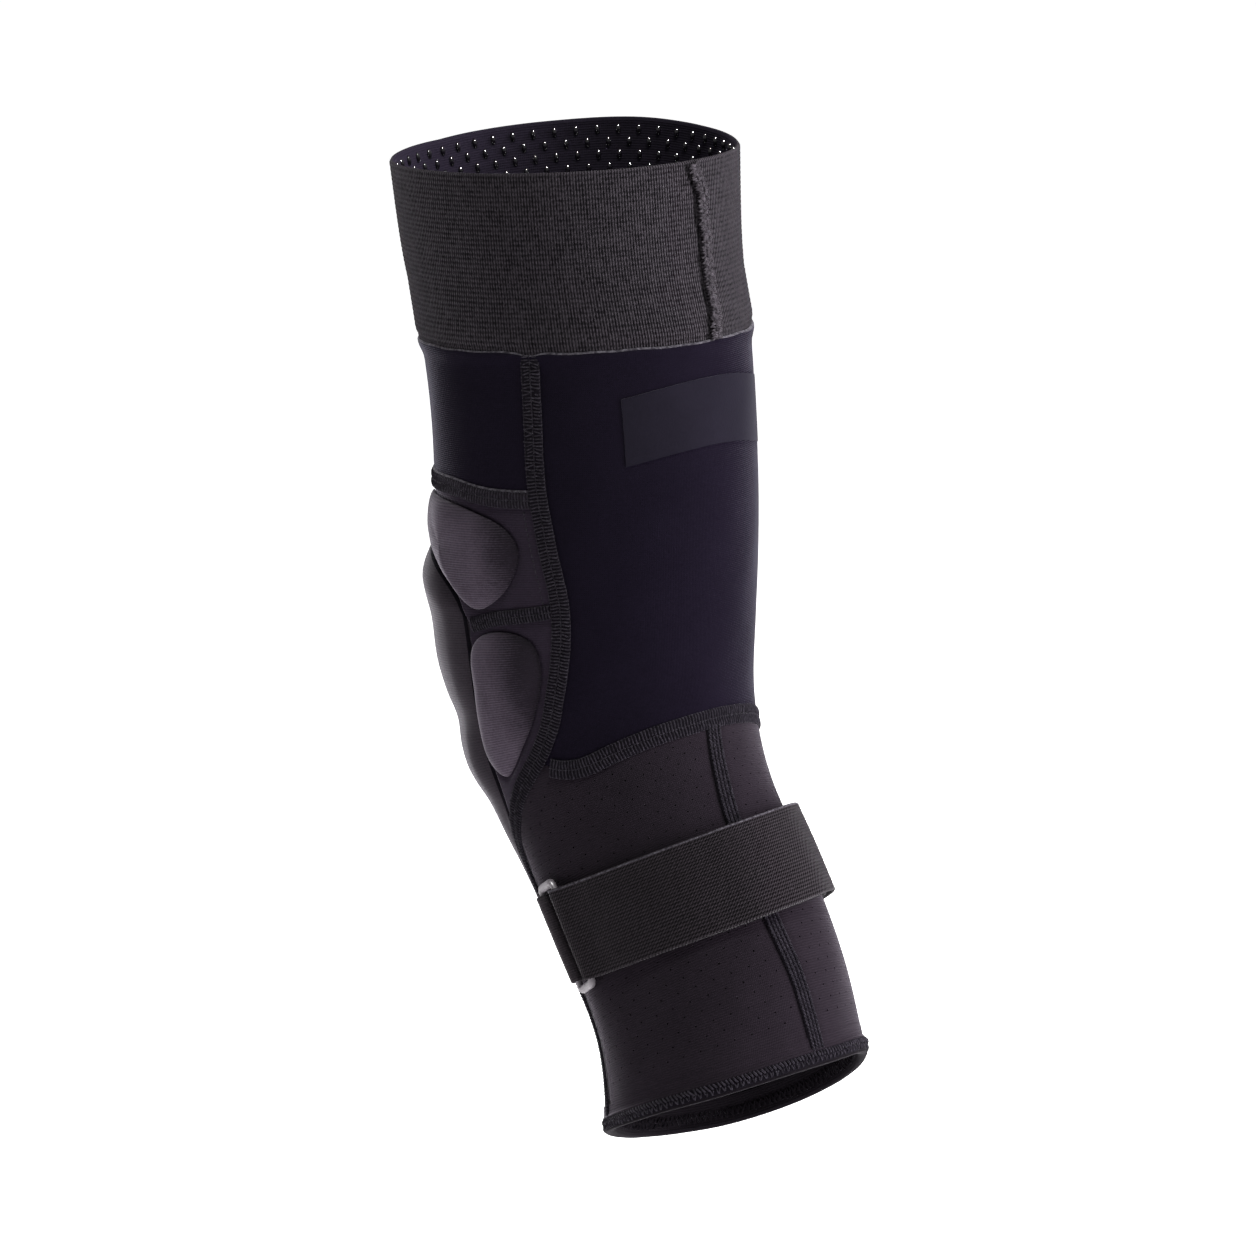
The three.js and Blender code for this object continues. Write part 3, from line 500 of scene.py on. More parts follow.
def band_part(path, profile, width, out=0.0):
    """A band along a path: a closed profile of shares of half the width and heights, carried along it."""
    turn, down, walked = path
    here, _, across, away = path_axes(turn, down, out)
    shares, heights = np.array(profile, float).T
    half = np.broadcast_to(width, turn.shape)[:, None] / 2 * shares
    raised = away[:, None] * heights[None, :, None] * MM
    rings = here[:, None] + across[:, None] * half[..., None] * MM + raised
    number = np.arange(half.size).reshape(half.shape)
    after = np.roll(number, -1, axis=1)
    faces = np.stack([number[:-1], after[:-1], after[1:], number[1:]], -1).reshape(-1, 4).tolist()
    faces += [number[0, ::-1].tolist(), number[-1].tolist()]
    uv = np.stack(np.broadcast_arrays(walked[:, None], half), -1).reshape(-1, 2) * MM
    return rings.reshape(-1, 3), faces, at_corners(uv, faces)


def stitches_part(path, offset, length, slant, out, lift=0.0, wild=0.06, thick=1.0, inside=False):
    """Thread stitches along a path, lying across it at an offset; slant is how far each leans along it,
    wild how unevenly they lie and thick how much stouter they are than fine thread."""
    turn, down, _ = path
    here, ahead, across, away = path_axes(turn, down, out)
    away = -away if inside else away
    offset, length, slant, wild = (
        np.broadcast_to(x, turn.shape)[:, None] for x in (offset, length, slant, wild)
    )
    shake = wild * needle.normal(0, 1, (len(turn), 3))
    lean = slant * (1 + shake[:, 2:]) + shake[:, :1]
    way = unit(across + ahead * lean)
    places = here + across * (offset + 0.8 * shake[:, 1:2]) * MM + away * (lift + 0.5 * shake[:, 2:]) * MM
    return copies(
        stitch_master, places, way * length * (1 + shake[:, 1:2]), np.cross(away, way) * thick, away * thick
    )


seam_downs = np.linspace(SEAM_FROM, SEAM_TO, 120)
ridge_path, loop_path, dash_path = (
    along(SEAM_TURN + seam_wander(seam_downs), seam_downs, step) for step in (1.0, 0.75, 2.0)
)
ridge_out = cuff_out(ridge_path[1]) + 0.1
loop_out, dash_out = cuff_out(loop_path[1]), cuff_out(dash_path[1])
ridge_profile = [(-share, high) for share, high in CUFF_RIDGE[::-1]]
cuff_ridge = band_part(ridge_path, ridge_profile, SEAM_WIDE, ridge_out)
cuff_threads = gather(
    *(
        stitches_part(loop_path, at, length, lean, loop_out, high, LOOP_WILD)
        for at, length, lean, high in LOOP_ROWS
    ),
    stitches_part(dash_path, -3.1, 1.2, 20, dash_out, 0.7),
)
cuff_seam = make_piece("cuff_seam_ridge", [cuff_ridge, cuff_threads], cuff_knit, overlock)
fix(cuff_seam, "cuff_knit", "cuff_back_seam")

# The front thigh panel and the panel behind the knee: smooth black stretch jersey, cut with clean edges.
# Their upper edges lap over the end of the cuff and show as a fine light line; the rest is sewn flat.
PANEL_TOP, LAP, LAP_FALL, EDGE_BEVEL, BEVEL_DEEP = 69.5, 1.5, (0.8, 7.5), 0.6, 0.6
BUTT, JERSEY_WALL, JERSEY_GIRTH = 0.15, 1.0, 1.1
DRAW_DEEP, DRAW_FROM, DRAW_TO = 0.55, 1.5, 6.5
PULL_DEEP, PULL_AT, PULL_WIDE = 1.1, 116, 4
SOFT_SWELL, SOFT_RIPPLE = 0.09, 0.05
SIDE_SEAM = [  # down, turn
    (70, 116), (96, 115), (121, 114.5), (146, 117), (172, 120), (190, 118.5), (209, 113.5), (223, 107.5),
    (234, 98), (250, 74.5), (259.5, 63), (270, 58.5), (285, 58), (374, 57),
]
THIGH_SEAM = [(0, 122), (50, 123.5), (80, 124.5), (98, 127.5), (120, 128)]  # turn, down
BACK_KNEE_SEAM = [  # turn, down
    (98, 233), (104, 238), (115, 241.5), (131, 239), (148, 236), (170, 234), (180, 233.6),
]

side_turn = through(SIDE_SEAM)
thigh_curve, knee_curve = through(THIGH_SEAM), through(BACK_KNEE_SEAM)


def thigh_down(turn):
    return thigh_curve(np.abs(turn))


def knee_down(turn):
    return knee_curve(np.where(np.asarray(turn) > 180, 360 - np.asarray(turn), turn))


def panel_grid(west, east, north, south, columns, rows):
    """Turns and downs over a panel: west and east give a turn for a down, north and south a down for a turn.
    Rows is how many, or each row's share of the way down."""

    def corner(turn_at, down_at):
        down = float(down_at(0.0))
        for _ in range(40):
            down = (down + float(down_at(turn_at(down)))) / 2
        return down, float(turn_at(down))

    (nw, nw_turn), (ne, ne_turn) = corner(west, north), corner(east, north)
    (sw, sw_turn), (se, se_turn) = corner(west, south), corner(east, south)
    u = np.linspace(0, 1, columns + 1)[:, None]
    v = (np.linspace(0, 1, rows + 1) if np.isscalar(rows) else np.asarray(rows))[None, :]
    turn = west(nw + (sw - nw) * v) * (1 - u) + east(ne + (se - ne) * v) * u
    top = north(nw_turn + (ne_turn - nw_turn) * u)
    bottom = south(sw_turn + (se_turn - sw_turn) * u)
    return turn, top + (bottom - top) * v


def steady(value):
    """The same value all along: an edge straight round the leg, or a seam of one width."""
    return lambda place: value + 0 * np.asarray(place, float)


def soft(turn, down):
    """The slight unevenness of cloth drawn over a leg, in millimetres."""
    swell = np.sin(turn / 13 + down / 31) + 0.7 * np.sin(turn / 7.1 - down / 19 + 2)
    return SOFT_SWELL * swell + SOFT_RIPPLE * np.sin(turn / 4.3 + down / 9.7 + 1)


def drawn_in(distance):
    """A seam draws the cloth in beside it, in millimetres."""
    return -DRAW_DEEP * (1 - ease(distance, DRAW_FROM, DRAW_TO))


def upper_edge(turn):
    """The cut edge over the cuff, not quite straight and pulled down at each side seam."""
    turn = np.asarray(turn, float)
    from_front = np.minimum(np.mod(turn, 360), np.mod(-turn, 360))
    pull = PULL_DEEP * np.exp(-(((from_front - PULL_AT) / PULL_WIDE) ** 2))
    return PANEL_TOP + pull + 0.2 * np.sin(np.radians(turn) * 9) + 0.12 * np.sin(np.radians(turn) * 23)


def lap(turn, down):
    """The upper edge stands over the cuff's end."""
    below = down - upper_edge(turn)
    return LAP * (1 - ease(below, *LAP_FALL)) - BEVEL_DEEP * (1 - ease(below, 0, EDGE_BEVEL))


jersey = new_cloth("stretch_jersey", 0.85, 0.02, 0.26, 0.25, (0.82, 0.78, 0.95))
jersey_u, jersey_v = cloth_coordinates(jersey)
jersey_wales = wave(jersey, jersey_u, 0.0007)
jersey_rows = wave(jersey, jersey_v, 0.0008)
jersey_cloud = grain(jersey, 0.02, 3.0)
jersey_fleck = grain(jersey, 0.0007, 1.0)
jersey_height = calc(jersey, "MULTIPLY_ADD", jersey_wales, jersey_rows, jersey_fleck)
jersey_tone = weighed(jersey, (jersey_cloud, 0.5), (jersey_fleck, 0.5))
finish_cloth(jersey, jersey_height, jersey_tone, (0.0024, 0.0015, 0.0041), (0.0062, 0.0045, 0.0098), 0.00009)

cut_edge = flecked(
    "cut_edge", 0.9, 0.06, 0.25, (0.9, 0.88, 0.95), 0.0015,
    (0.022, 0.019, 0.025), (0.085, 0.078, 0.092), 0.0002, 0.35, 0.65,
)


def lapped_panel(name, turn, down, outer):
    """A jersey panel whose upper rim is finished as a cut edge."""
    sheet = leg_sheet(turn, down, outer, outer - JERSEY_WALL, JERSEY_GIRTH)
    piece = make_piece(name, [sheet], jersey, cut_edge)
    columns, rows = turn.shape[0] - 1, turn.shape[1] - 1
    finish = np.zeros(len(piece.data.polygons), int)
    finish[np.arange(columns) * rows] = 1
    finish[2 * columns * rows : 2 * columns * rows + columns] = 1
    piece.data.polygons.foreach_set("material_index", finish)
    return piece


TOP_ROWS = [0, 0.004, 0.01, 0.02, 0.035]
thigh_rows = np.concatenate([np.array(TOP_ROWS) * 2.5, np.linspace(0.12, 1, 24)])
front_turn, front_down = panel_grid(
    lambda down: BUTT - side_turn(down), lambda down: side_turn(down) - BUTT,
    upper_edge, lambda turn: thigh_down(turn) - BUTT, 176, thigh_rows,
)
front_edge = np.minimum(side_turn(front_down) - np.abs(front_turn), thigh_down(front_turn) - front_down)
front_out = lap(front_turn, front_down) + soft(front_turn, front_down) + drawn_in(front_edge)
thigh_front = lapped_panel("front_thigh_jersey", front_turn, front_down, front_out)
fix(thigh_front, "stretch", "thigh_front_panel")


def back_out(turn, down):
    """The back panel's height, which the patch follows."""
    edge = np.minimum(np.minimum(turn, 360 - turn) - side_turn(down), knee_down(turn) - down)
    return lap(turn, down) + soft(turn, down) + drawn_in(edge)


back_rows = np.concatenate([TOP_ROWS, np.linspace(0.05, 1, 60)])
back_turn, back_down = panel_grid(
    lambda down: side_turn(down) + BUTT, lambda down: 360 - side_turn(down) - BUTT,
    upper_edge, lambda turn: knee_down(turn) - BUTT, 112, back_rows,
)
back_face = back_out(back_turn, back_down)
back_panel = lapped_panel("back_jersey", back_turn, back_down, back_face)
fix(back_panel, "stretch", "back_panel")

# The patch: a plain strip of thin film bonded to the back panel, a shade lighter than the jersey.
# Its upper edge rises a little at the middle of the back.
PATCH_FROM, PATCH_TO, PATCH_TOP, PATCH_TALL, PATCH_ARCH = 144.5, 215.5, 89, 27, 5
PATCH_THICK, PATCH_GLUE, PATCH_GIRTH = 0.4, 0.1, 1.2

film = new_cloth("patch_film", 0.7, 0.04, 0.11, 0.3, (0.85, 0.82, 0.98))
film_cloud, film_grit = grain(film, 0.015, 3.0), grain(film, 0.0008, 1.0)
film_tone = weighed(film, (film_grit, 0.3), (film_cloud, 0.6))
finish_cloth(film, film_grit, film_tone, (0.0037, 0.003, 0.006), (0.0082, 0.0067, 0.0125), 0.00006)

patch_turn, patch_fall = np.meshgrid(
    np.linspace(PATCH_FROM, PATCH_TO, 48), np.linspace(0, PATCH_TALL, 20), indexing="ij"
)
patch_arch = PATCH_ARCH * np.cos(np.radians((patch_turn - 180) / (PATCH_TO - 180) * 90))
patch_down = PATCH_TOP + patch_fall - patch_arch
patch_under = back_out(patch_turn, patch_down) + PATCH_GLUE
patch_part = leg_sheet(patch_turn, patch_down, patch_under + PATCH_THICK, patch_under, PATCH_GIRTH)
patch = make_piece("back_film", [patch_part], film)
fix(patch, "patch", "back_patch")

# The yoke above the knee: a band of foam-backed knit from one side seam to the other, which carries the
# upper side pads. Round each pad the cloth is pressed down to the foam in a fine crease.
YOKE_EDGE = [  # turn, down of the lower edge
    (0, 144), (25, 146), (46, 151), (62, 157), (71, 162.5), (76, 168.5), (79, 175.5), (81, 177.8),
    (85, 177.5), (93, 175.5), (106, 174), (122, 172),
]
PADDED_WALL, SIDE_GIRTH, YOKE_SEWN_FROM = 2.5, 1.05, 82
CREASE_DEEP, CREASE_WIDE, EDGE_ROLL, ROLL_WIDE = 1.2, 1.4, 1.0, 1.8
UPPER_PAD = [  # turn, down, height the dome leans to
    (36, 136, 0.6), (43, 129.5, 1.6), (57, 129.5, 3), (74, 130.5, 6), (90, 133.5, 6), (102, 139.5, 6),
    (106.5, 148.5, 6), (103, 160, 6), (95, 168.5, 6), (86, 171.5, 6), (76, 163, 6), (62, 154.5, 3),
    (45, 147, 0.6),
]
LOWER_PAD = [
    (81.5, 187, 6), (86, 182.5, 6), (94, 180.5, 6), (102, 181.5, 6), (108, 185.5, 6), (110, 193.5, 6),
    (108.5, 204, 6), (102.5, 217, 6), (94, 227, 6), (85, 234.5, 6), (78.5, 236.5, 6), (73.5, 231, 6),
    (75.5, 216, 6), (79, 201, 6),
]

yoke_curve = through(YOKE_EDGE)


def yoke_down(turn):
    return yoke_curve(np.abs(turn))


def loop_through(corners, count):
    """A closed smooth outline through its corners, as evenly spaced points."""
    corners = np.array(corners, float)
    wrapped = np.concatenate([corners[-3:], corners, corners[:4]])
    chord = np.concatenate([[0], np.cumsum(np.sqrt(np.linalg.norm(np.diff(wrapped, axis=0), axis=1)))])
    at = np.linspace(chord[3], chord[3 + len(corners)], 12 * len(corners) + 1)
    fine = np.stack([through(list(zip(chord, wrapped[:, k])))(at) for k in range(3)], -1)
    walked = walk(fine)
    even = np.linspace(0, walked[-1], count + 1)
    return np.stack([np.interp(even, walked, fine[:, k]) for k in range(3)], -1)


upper_rim, lower_rim = loop_through(UPPER_PAD, 132), loop_through(LOWER_PAD, 132)


def crease(turn, down, rim):
    """The cloth pressed in along a pad's outline, in millimetres."""
    flat = np.stack([np.abs(turn) * SIDE_GIRTH, down], -1)
    gap = np.min([np.linalg.norm(flat - (x * SIDE_GIRTH, y), axis=-1) for x, y, _ in rim], axis=0)
    return -CREASE_DEEP * np.exp(-((gap / CREASE_WIDE) ** 2))


def turned_edge(distance):
    """A panel's edge rolled in where it meets its neighbour in an open groove, in millimetres."""
    return -EDGE_ROLL * (1 - np.sqrt(1 - (1 - np.clip(distance / ROLL_WIDE, 0, 1)) ** 2))


# The yoke and leaf knit: the pads' knit painted darker, as painted shade for the flat panels that the side
# lights reach less than the domes.
shaded_yoke_knit = fine_knit("shaded_yoke_knit", (0.0086, 0.006, 0.0101), (0.0222, 0.0165, 0.026), 0.26, (0.88, 0.82, 0.94))

tape = flecked(
    "seam_ground", 0.95, 0.02, 0.08, (0.85, 0.82, 0.92), 0.0008,
    (0.0025, 0.002, 0.0032), (0.0075, 0.0062, 0.009), 0.0002, 0.0, 1.0,
)

yoke_turn, yoke_level = panel_grid(
    lambda down: BUTT - side_turn(down), lambda down: side_turn(down) - BUTT,
    lambda turn: thigh_down(turn) + BUTT, lambda turn: yoke_down(turn) - BUTT, 240, 44,
)
yoke_sewn = np.minimum(side_turn(yoke_level) - np.abs(yoke_turn), yoke_level - thigh_down(yoke_turn))
yoke_low = yoke_down(yoke_turn) - yoke_level
yoke_out = soft(yoke_turn, yoke_level) + drawn_in(yoke_sewn) + crease(yoke_turn, yoke_level, upper_rim)
yoke_out = yoke_out + np.where(np.abs(yoke_turn) < YOKE_SEWN_FROM, turned_edge(yoke_low), drawn_in(yoke_low))
yoke_part = leg_sheet(yoke_turn, yoke_level, yoke_out, -PADDED_WALL, SIDE_GIRTH)
yoke = make_piece("yoke", [yoke_part], shaded_yoke_knit)
fix(yoke, "pad_knit", "pad_yoke")

# The lower side panels: the same foam-backed knit, a long leaf on each side of the knee between the knee
# cover and the side seam, narrowing to a point where the two meet. Each carries a lower side pad.
COVER_SIDE = [(176, 79), (188, 79), (200, 77.8), (215, 74), (231, 71), (243, 69), (259.5, 63)]  # down, turn
COVER_MEETS, PANEL_TIP = 259.5, 253

cover_curve = through(COVER_SIDE)


def cover_turn(down):
    return np.where(np.asarray(down) < COVER_MEETS, cover_curve(down), side_turn(down))


leaf_turn, leaf_down = panel_grid(
    lambda down: cover_turn(down) + BUTT, lambda down: side_turn(down) - BUTT,
    lambda turn: yoke_down(turn) + BUTT, steady(PANEL_TIP), 48, 84,
)
leaf_sewn = np.minimum(side_turn(leaf_down) - leaf_turn, leaf_down - yoke_down(leaf_turn))
leaf_out = soft(leaf_turn, leaf_down) + drawn_in(leaf_sewn) + crease(leaf_turn, leaf_down, lower_rim)
leaf_out = leaf_out + turned_edge(leaf_turn - cover_turn(leaf_down))


def other_side(part):
    """A part mirrored to the right side of the leg, its faces turned back outwards."""
    points, faces, uvs = part
    starts = np.cumsum([0] + [len(face) for face in faces])
    uvs = np.concatenate([uvs[start:end][::-1] for start, end in zip(starts, starts[1:])])
    return points * (-1, 1, 1), [face[::-1] for face in faces], uvs


leaf_part = leg_sheet(leaf_turn, leaf_down, leaf_out, -PADDED_WALL, SIDE_GIRTH)
for side, part in (("left", leaf_part), ("right", other_side(leaf_part))):
    leaf = make_piece("side_leaf_" + side, [part], shaded_yoke_knit, tape)
    # Painted shadow: the faces along the leaf's edge by the knee cover take the dark seam ground, as the
    # shade in the open groove there.
    for face in leaf.data.polygons[: leaf_turn.shape[1] - 1]:
        face.material_index = 1
    fix(leaf, "pad_knit", "lower_side_panel_" + side)

# The side pads: four domes of moulded foam under the knit, two on each side of the knee.
# The upper one fades forward over the knee; both stand up steeply from the crease round them.
PAD_ROUND, PAD_RINGS, PUCKERS, PUCKER_DEEP, PUCKER_WIDE, PUCKER_TALL = 2.4, 26, 38, 1.4, 7, 12

# The pads' knit: painted shade makes it darker towards each pad's front and much darker towards its back
# flank; only the band over the crown keeps its full tone.
pad_knit = fine_knit(
    "pad_knit", (0.0112, 0.0085, 0.0125), (0.083, 0.066, 0.088), 0.28, (0.88, 0.83, 0.92),
    crown=(0.058, 0.084, 0.096, 0.116),
)


def dome_part(outer, under, uv):
    """Two faces that meet at a closed rim, each drawn to one point at its middle."""
    sides, rings = uv.shape[0] - 1, uv.shape[1] - 1
    number = np.arange(sides * rings).reshape(sides, rings)
    number = np.vstack([number, number[:1]]) + 1
    faces = []
    base = sides * rings + 1
    for k in range(sides):
        faces.append([0, number[k, 0], number[k + 1, 0]])
        faces.append([base, base + number[k + 1, 0], base + number[k, 0]])
    face = np.stack([number[:-1, :-1], number[:-1, 1:], number[1:, 1:], number[1:, :-1]], -1).reshape(-1, 4)
    faces += face.tolist() + (face[:, ::-1] + base).tolist()
    edge = number[:, -1]
    faces += np.stack([edge[1:], edge[:-1], edge[:-1] + base, edge[1:] + base], -1).tolist()
    points = [outer[0, :1], outer[:-1, 1:].reshape(-1, 3), under[0, :1], under[:-1, 1:].reshape(-1, 3)]
    flat = np.concatenate([uv[0, :1], uv[:-1, 1:].reshape(-1, 2)] * 2)
    return np.concatenate(points), faces, at_corners(flat, faces)


def pad_part(rim, pucker_turn, pucker_down):
    """A crowned dome inside its outline, with small puckers where the crease is tightest."""
    share = np.sin(np.linspace(0, math.pi / 2, PAD_RINGS))[None, :]
    middle = np.mean(rim[:-1], axis=0)
    at = middle + (rim[:, None] - middle) * share[..., None]
    turn, down, high = at[..., 0], at[..., 1], at[..., 2]
    crown = np.sqrt(np.clip(1 - share**PAD_ROUND, 0, 1))
    off_turn, off_down = (rim[:, 0] - pucker_turn) / PUCKER_WIDE, (rim[:, 1] - pucker_down) / PUCKER_TALL
    near = np.exp(-(off_turn**2) - off_down**2)
    walked = np.arange(len(rim)) / (len(rim) - 1)
    folds = near * (0.5 + 0.5 * np.sin(math.tau * PUCKERS * walked + 2 * np.sin(math.tau * 9 * walked)))
    outer = (high + 0.75) * crown - 0.25 - PUCKER_DEEP * folds[:, None] * ease(share, 0.66, 0.92) * crown
    under = 0.2 - 0.55 * ease(share, 0.9, 1) + 0 * high
    outer[:, -1] = under[:, -1] + 0.12
    uv = np.stack([turn * SIDE_GIRTH, down], -1) * MM
    return dome_part(on_leg(turn, down, outer), on_leg(turn, down, under), uv)


PADS = {"upper": pad_part(upper_rim, 100, 162), "lower": pad_part(lower_rim, 104, 212)}
for place, left_pad in PADS.items():
    for side, part in (("left", left_pad), ("right", other_side(left_pad))):
        pad = make_piece(f"{place}_pad_{side}", [part], pad_knit)
        fix(pad, "pad_knit", f"{place}_side_pad_{side}")

# The knee cover: one long padded panel over the kneecap and down the shin, knit over thick soft foam.
# The foam stands up in a cap over the knee and a smaller one below it, with a bend line between.
PANEL_END, COVER_RISE, COVER_TUCK, TUCK_OVER, COVER_FOAM = 372, 13, 5.5, 20, 0.8
COVER_CORNER, GROOVE_END, COVER_GIRTH, COVER_COLUMNS, COVER_ROWS = 79, 256, 0.98, 140, 130
COVER_BULGE = [  # down, height
    (144, 3.2), (160, 4.9), (167, 4.5), (177, 3.1), (193, 3.5), (204, 2.7), (213, 1.5), (222, 3.4), (229, 4),
    (235, 3.2), (242, 1.5), (255, 1.1), (300, 1), (374, 0.6),
]

bulge_at = through(COVER_BULGE)
cover_knit = fine_knit(
    "cover_knit", (0.0125, 0.0098, 0.0133), (0.031, 0.0258, 0.032), 0.32, (0.9, 0.86, 0.93)
)
# Painted shade: a near-black finish for the faces inside the sleeve, standing for the shade that falls there.
lining_and_shade = fine_knit("lining_and_shade", (0.002, 0.0015, 0.0022), (0.007, 0.0055, 0.0075), 0.03, (0.9, 0.82, 0.95))

cap_turn, cap_down = panel_grid(
    lambda down: BUTT - cover_turn(down), lambda down: cover_turn(down) - BUTT,
    lambda turn: yoke_down(np.clip(turn, -COVER_CORNER, COVER_CORNER)) + BUTT, steady(PANEL_END),
    COVER_COLUMNS, COVER_ROWS,
)
cap_tuck = BUTT + COVER_TUCK * ease(cap_down, COVER_MEETS - TUCK_OVER, COVER_MEETS)
cap_side = cover_turn(cap_down) - np.abs(cap_turn)
cap_edge = np.minimum(cap_side - cap_tuck, cap_down - yoke_down(cap_turn) - BUTT)
cap_bulge = bulge_at(cap_down) * np.sqrt(ease(cap_edge, 0, COVER_RISE))
cap_gap = np.minimum(cap_side, cap_down - yoke_down(cap_turn))
cap_rim = np.where(cap_down < GROOVE_END, turned_edge(cap_gap), drawn_in(cap_side))
cap_out = cap_bulge + soft(cap_turn, cap_down) + cap_rim
cap_under = -PADDED_WALL - COVER_FOAM * cap_bulge
cover_part = leg_sheet(cap_turn, cap_down, cap_out, cap_under, COVER_GIRTH)
cover = make_piece("knee_cap_cover", [cover_part], cover_knit, tape)
# Painted shadow: along its side edges and its top, above the groove's end, the cover's outer faces take the
# dark seam ground, as the shade in the open groove beside the pads.
for face in cover.data.polygons[: COVER_COLUMNS * COVER_ROWS]:
    column, row = divmod(face.index, COVER_ROWS)
    if (column in (0, COVER_COLUMNS - 1) or row == 0) and cap_down[column, row] < GROOVE_END:
        face.material_index = 1
# Painted shade: the faces inside the cover take the dark inside finish.
line_and_shade_inside(cover, lining_and_shade)
fix(cover, "cover_knit", "knee_cover")

# The calf panels: 3 mm neoprene faced with fine jersey, punched all over with small holes in staggered rows.
# A seam down the middle of the calf joins the two. Each hole is a pit in both faces, so that no daylight
# shows through the empty sleeve.
CALF_SEAM = [(230, 176.5), (265, 172), (287, 168.5), (328, 167.5), (352, 172.5), (376, 178)]  # down, turn
CALF_WALL, CALF_GIRTH = 3, 0.95
HOLE_ACROSS, HOLE_APART, HOLE_ROW, HOLE_MARGIN, HOLE_DEEP = 0.75, 7.4, 4.6, 6.5, 0.9
HOLES_FROM, HOLE_SNAP, CALF_SINK = 230, 1.2, 0.3
RING_OF = [(math.cos(k * math.pi / 4), math.sin(k * math.pi / 4)) for k in range(8)]

calf_curve = through(CALF_SEAM)

neoprene = fine_knit("neoprene", (0.005, 0.0034, 0.0053), (0.0156, 0.0116, 0.0163), 0.29, (0.9, 0.82, 0.95))


def hole_places(flat, edge):
    """The turn and down of each hole in the staggered rows, by the grid point nearest to it."""
    columns, rows = edge.shape
    holes = {}
    for n, row in enumerate(np.arange(HOLES_FROM, PANEL_END, HOLE_ROW)):
        shift = HOLE_APART / 2 * (n % 2)
        for across in np.arange(flat[..., 0].min() + shift, flat[..., 0].max(), HOLE_APART):
            gap = np.linalg.norm(flat - (across, row), axis=-1)
            i, j = np.unravel_index(np.argmin(gap), gap.shape)
            inner_point = 1 < i < columns - 2 and 1 < j < rows - 2
            if inner_point and gap[i, j] < HOLE_SNAP and edge[i, j] > HOLE_MARGIN:
                holes[i, j] = (across / CALF_GIRTH, row)
    return holes


def punched_part(turn, down, outer, inner, edge):
    """A sheet with holes in both faces, each in place of a grid point. A hole has four rings of eight points:
    the mouths in the two faces, then the floors of the two pits."""
    columns, rows = turn.shape
    flat = np.stack([turn * CALF_GIRTH, down], -1)
    holes = hole_places(flat, edge)
    sheet_points, _, _ = sheet_part(on_leg(turn, down, outer), on_leg(turn, down, inner), flat)
    points, places = [sheet_points], [flat.reshape(-1, 2), flat.reshape(-1, 2)]
    first = {}
    for (i, j), (hole_turn, hole_down) in holes.items():
        first[i, j] = 2 * columns * rows + 32 * len(first)
        around = hole_turn + np.array([x for x, _ in RING_OF]) * HOLE_ACROSS / 2 / CALF_GIRTH
        below = hole_down + np.array([y for _, y in RING_OF]) * HOLE_ACROSS / 2
        for height in (outer[i, j], inner[i, j], outer[i, j] - HOLE_DEEP, inner[i, j] + HOLE_DEEP):
            points.append(on_leg(around, below, height))
            places.append(np.stack([around * CALF_GIRTH, below], -1))

    def vertex(i, j, k=None):
        return i * rows + j if k is None else first[i, j] + k % 8

    front = []
    for i in range(columns - 1):
        for j in range(rows - 1):
            a, b, c, d = (i, j), (i, j + 1), (i + 1, j + 1), (i + 1, j)
            ring = next((corner for corner in (a, b, c, d) if corner in holes), None)
            if ring is None:
                front.append([vertex(*a), vertex(*b), vertex(*c), vertex(*d)])
                continue
            order = (a, b, c, d)
            turned = order.index(ring)
            start = {0: 0, 1: 6, 2: 4, 3: 2}[turned]
            one, two, three = (vertex(*order[(turned + k) % 4]) for k in (1, 2, 3))
            near, middle, far = (vertex(*ring, start + k) for k in (2, 1, 0))
            front += [[near, one, two, middle], [middle, two, three, far]]
    count = columns * rows
    faces = list(front)
    for face in front:
        faces.append([corner + count if corner < count else corner + 8 for corner in face[::-1]])
    for start in first.values():
        for k in range(8):
            here, after = start + k, start + (k + 1) % 8
            faces.append([after, here, here + 16, after + 16])
            faces.append([after + 24, here + 24, here + 8, after + 8])
        faces.append([start + 23 - k for k in range(8)])
        faces.append([start + 24 + k for k in range(8)])
    edges = [[vertex(i, 0) for i in range(columns)], [vertex(i, rows - 1) for i in reversed(range(columns))]]
    edges += [[vertex(0, j) for j in reversed(range(rows))], [vertex(columns - 1, j) for j in range(rows)]]
    for line in edges:
        faces += [[one, two, two + count, one + count] for one, two in zip(line, line[1:])]
    used = np.unique([corner for face in faces for corner in face])
    renumber = np.zeros(used.max() + 1, int)
    renumber[used] = np.arange(len(used))
    uv = np.concatenate(places)[used] * MM
    faces = [[int(renumber[corner]) for corner in face] for face in faces]
    return np.concatenate(points)[used], faces, at_corners(uv, faces)


CALF_PANELS = {  # its two edges, columns, and the width and area it is cut to, in metres
    "left": (lambda down: side_turn(down) + BUTT, lambda down: calf_curve(down) - BUTT, 86, 0.105, 0.0131),
    "right": (
        lambda down: calf_curve(down) + BUTT, lambda down: 360 - side_turn(down) - BUTT, 104, 0.127, 0.0155
    ),
}
for side, (west, east, columns, cut_wide, cut_area) in CALF_PANELS.items():
    calf_turn, calf_down = panel_grid(
        west, east, lambda turn: knee_down(turn) + BUTT, steady(PANEL_END), columns, 104
    )
    calf_edge = np.minimum(calf_turn - west(calf_down), east(calf_down) - calf_turn)
    calf_edge = np.minimum(calf_edge, calf_down - knee_down(calf_turn))
    calf_out = soft(calf_turn, calf_down) + drawn_in(calf_edge)
    hole_edge = np.minimum(calf_edge, PANEL_END + 2 - calf_down)
    part = punched_part(calf_turn, calf_down, calf_out, calf_out * CALF_SINK - CALF_WALL, hole_edge)
    calf = make_piece("calf_neoprene_" + side, [part], neoprene)
    # Painted shade: the faces inside the sleeve take the dark inside finish.
    line_and_shade_inside(calf, lining_and_shade)
    fix(calf, "neoprene", "calf_panel_" + side)

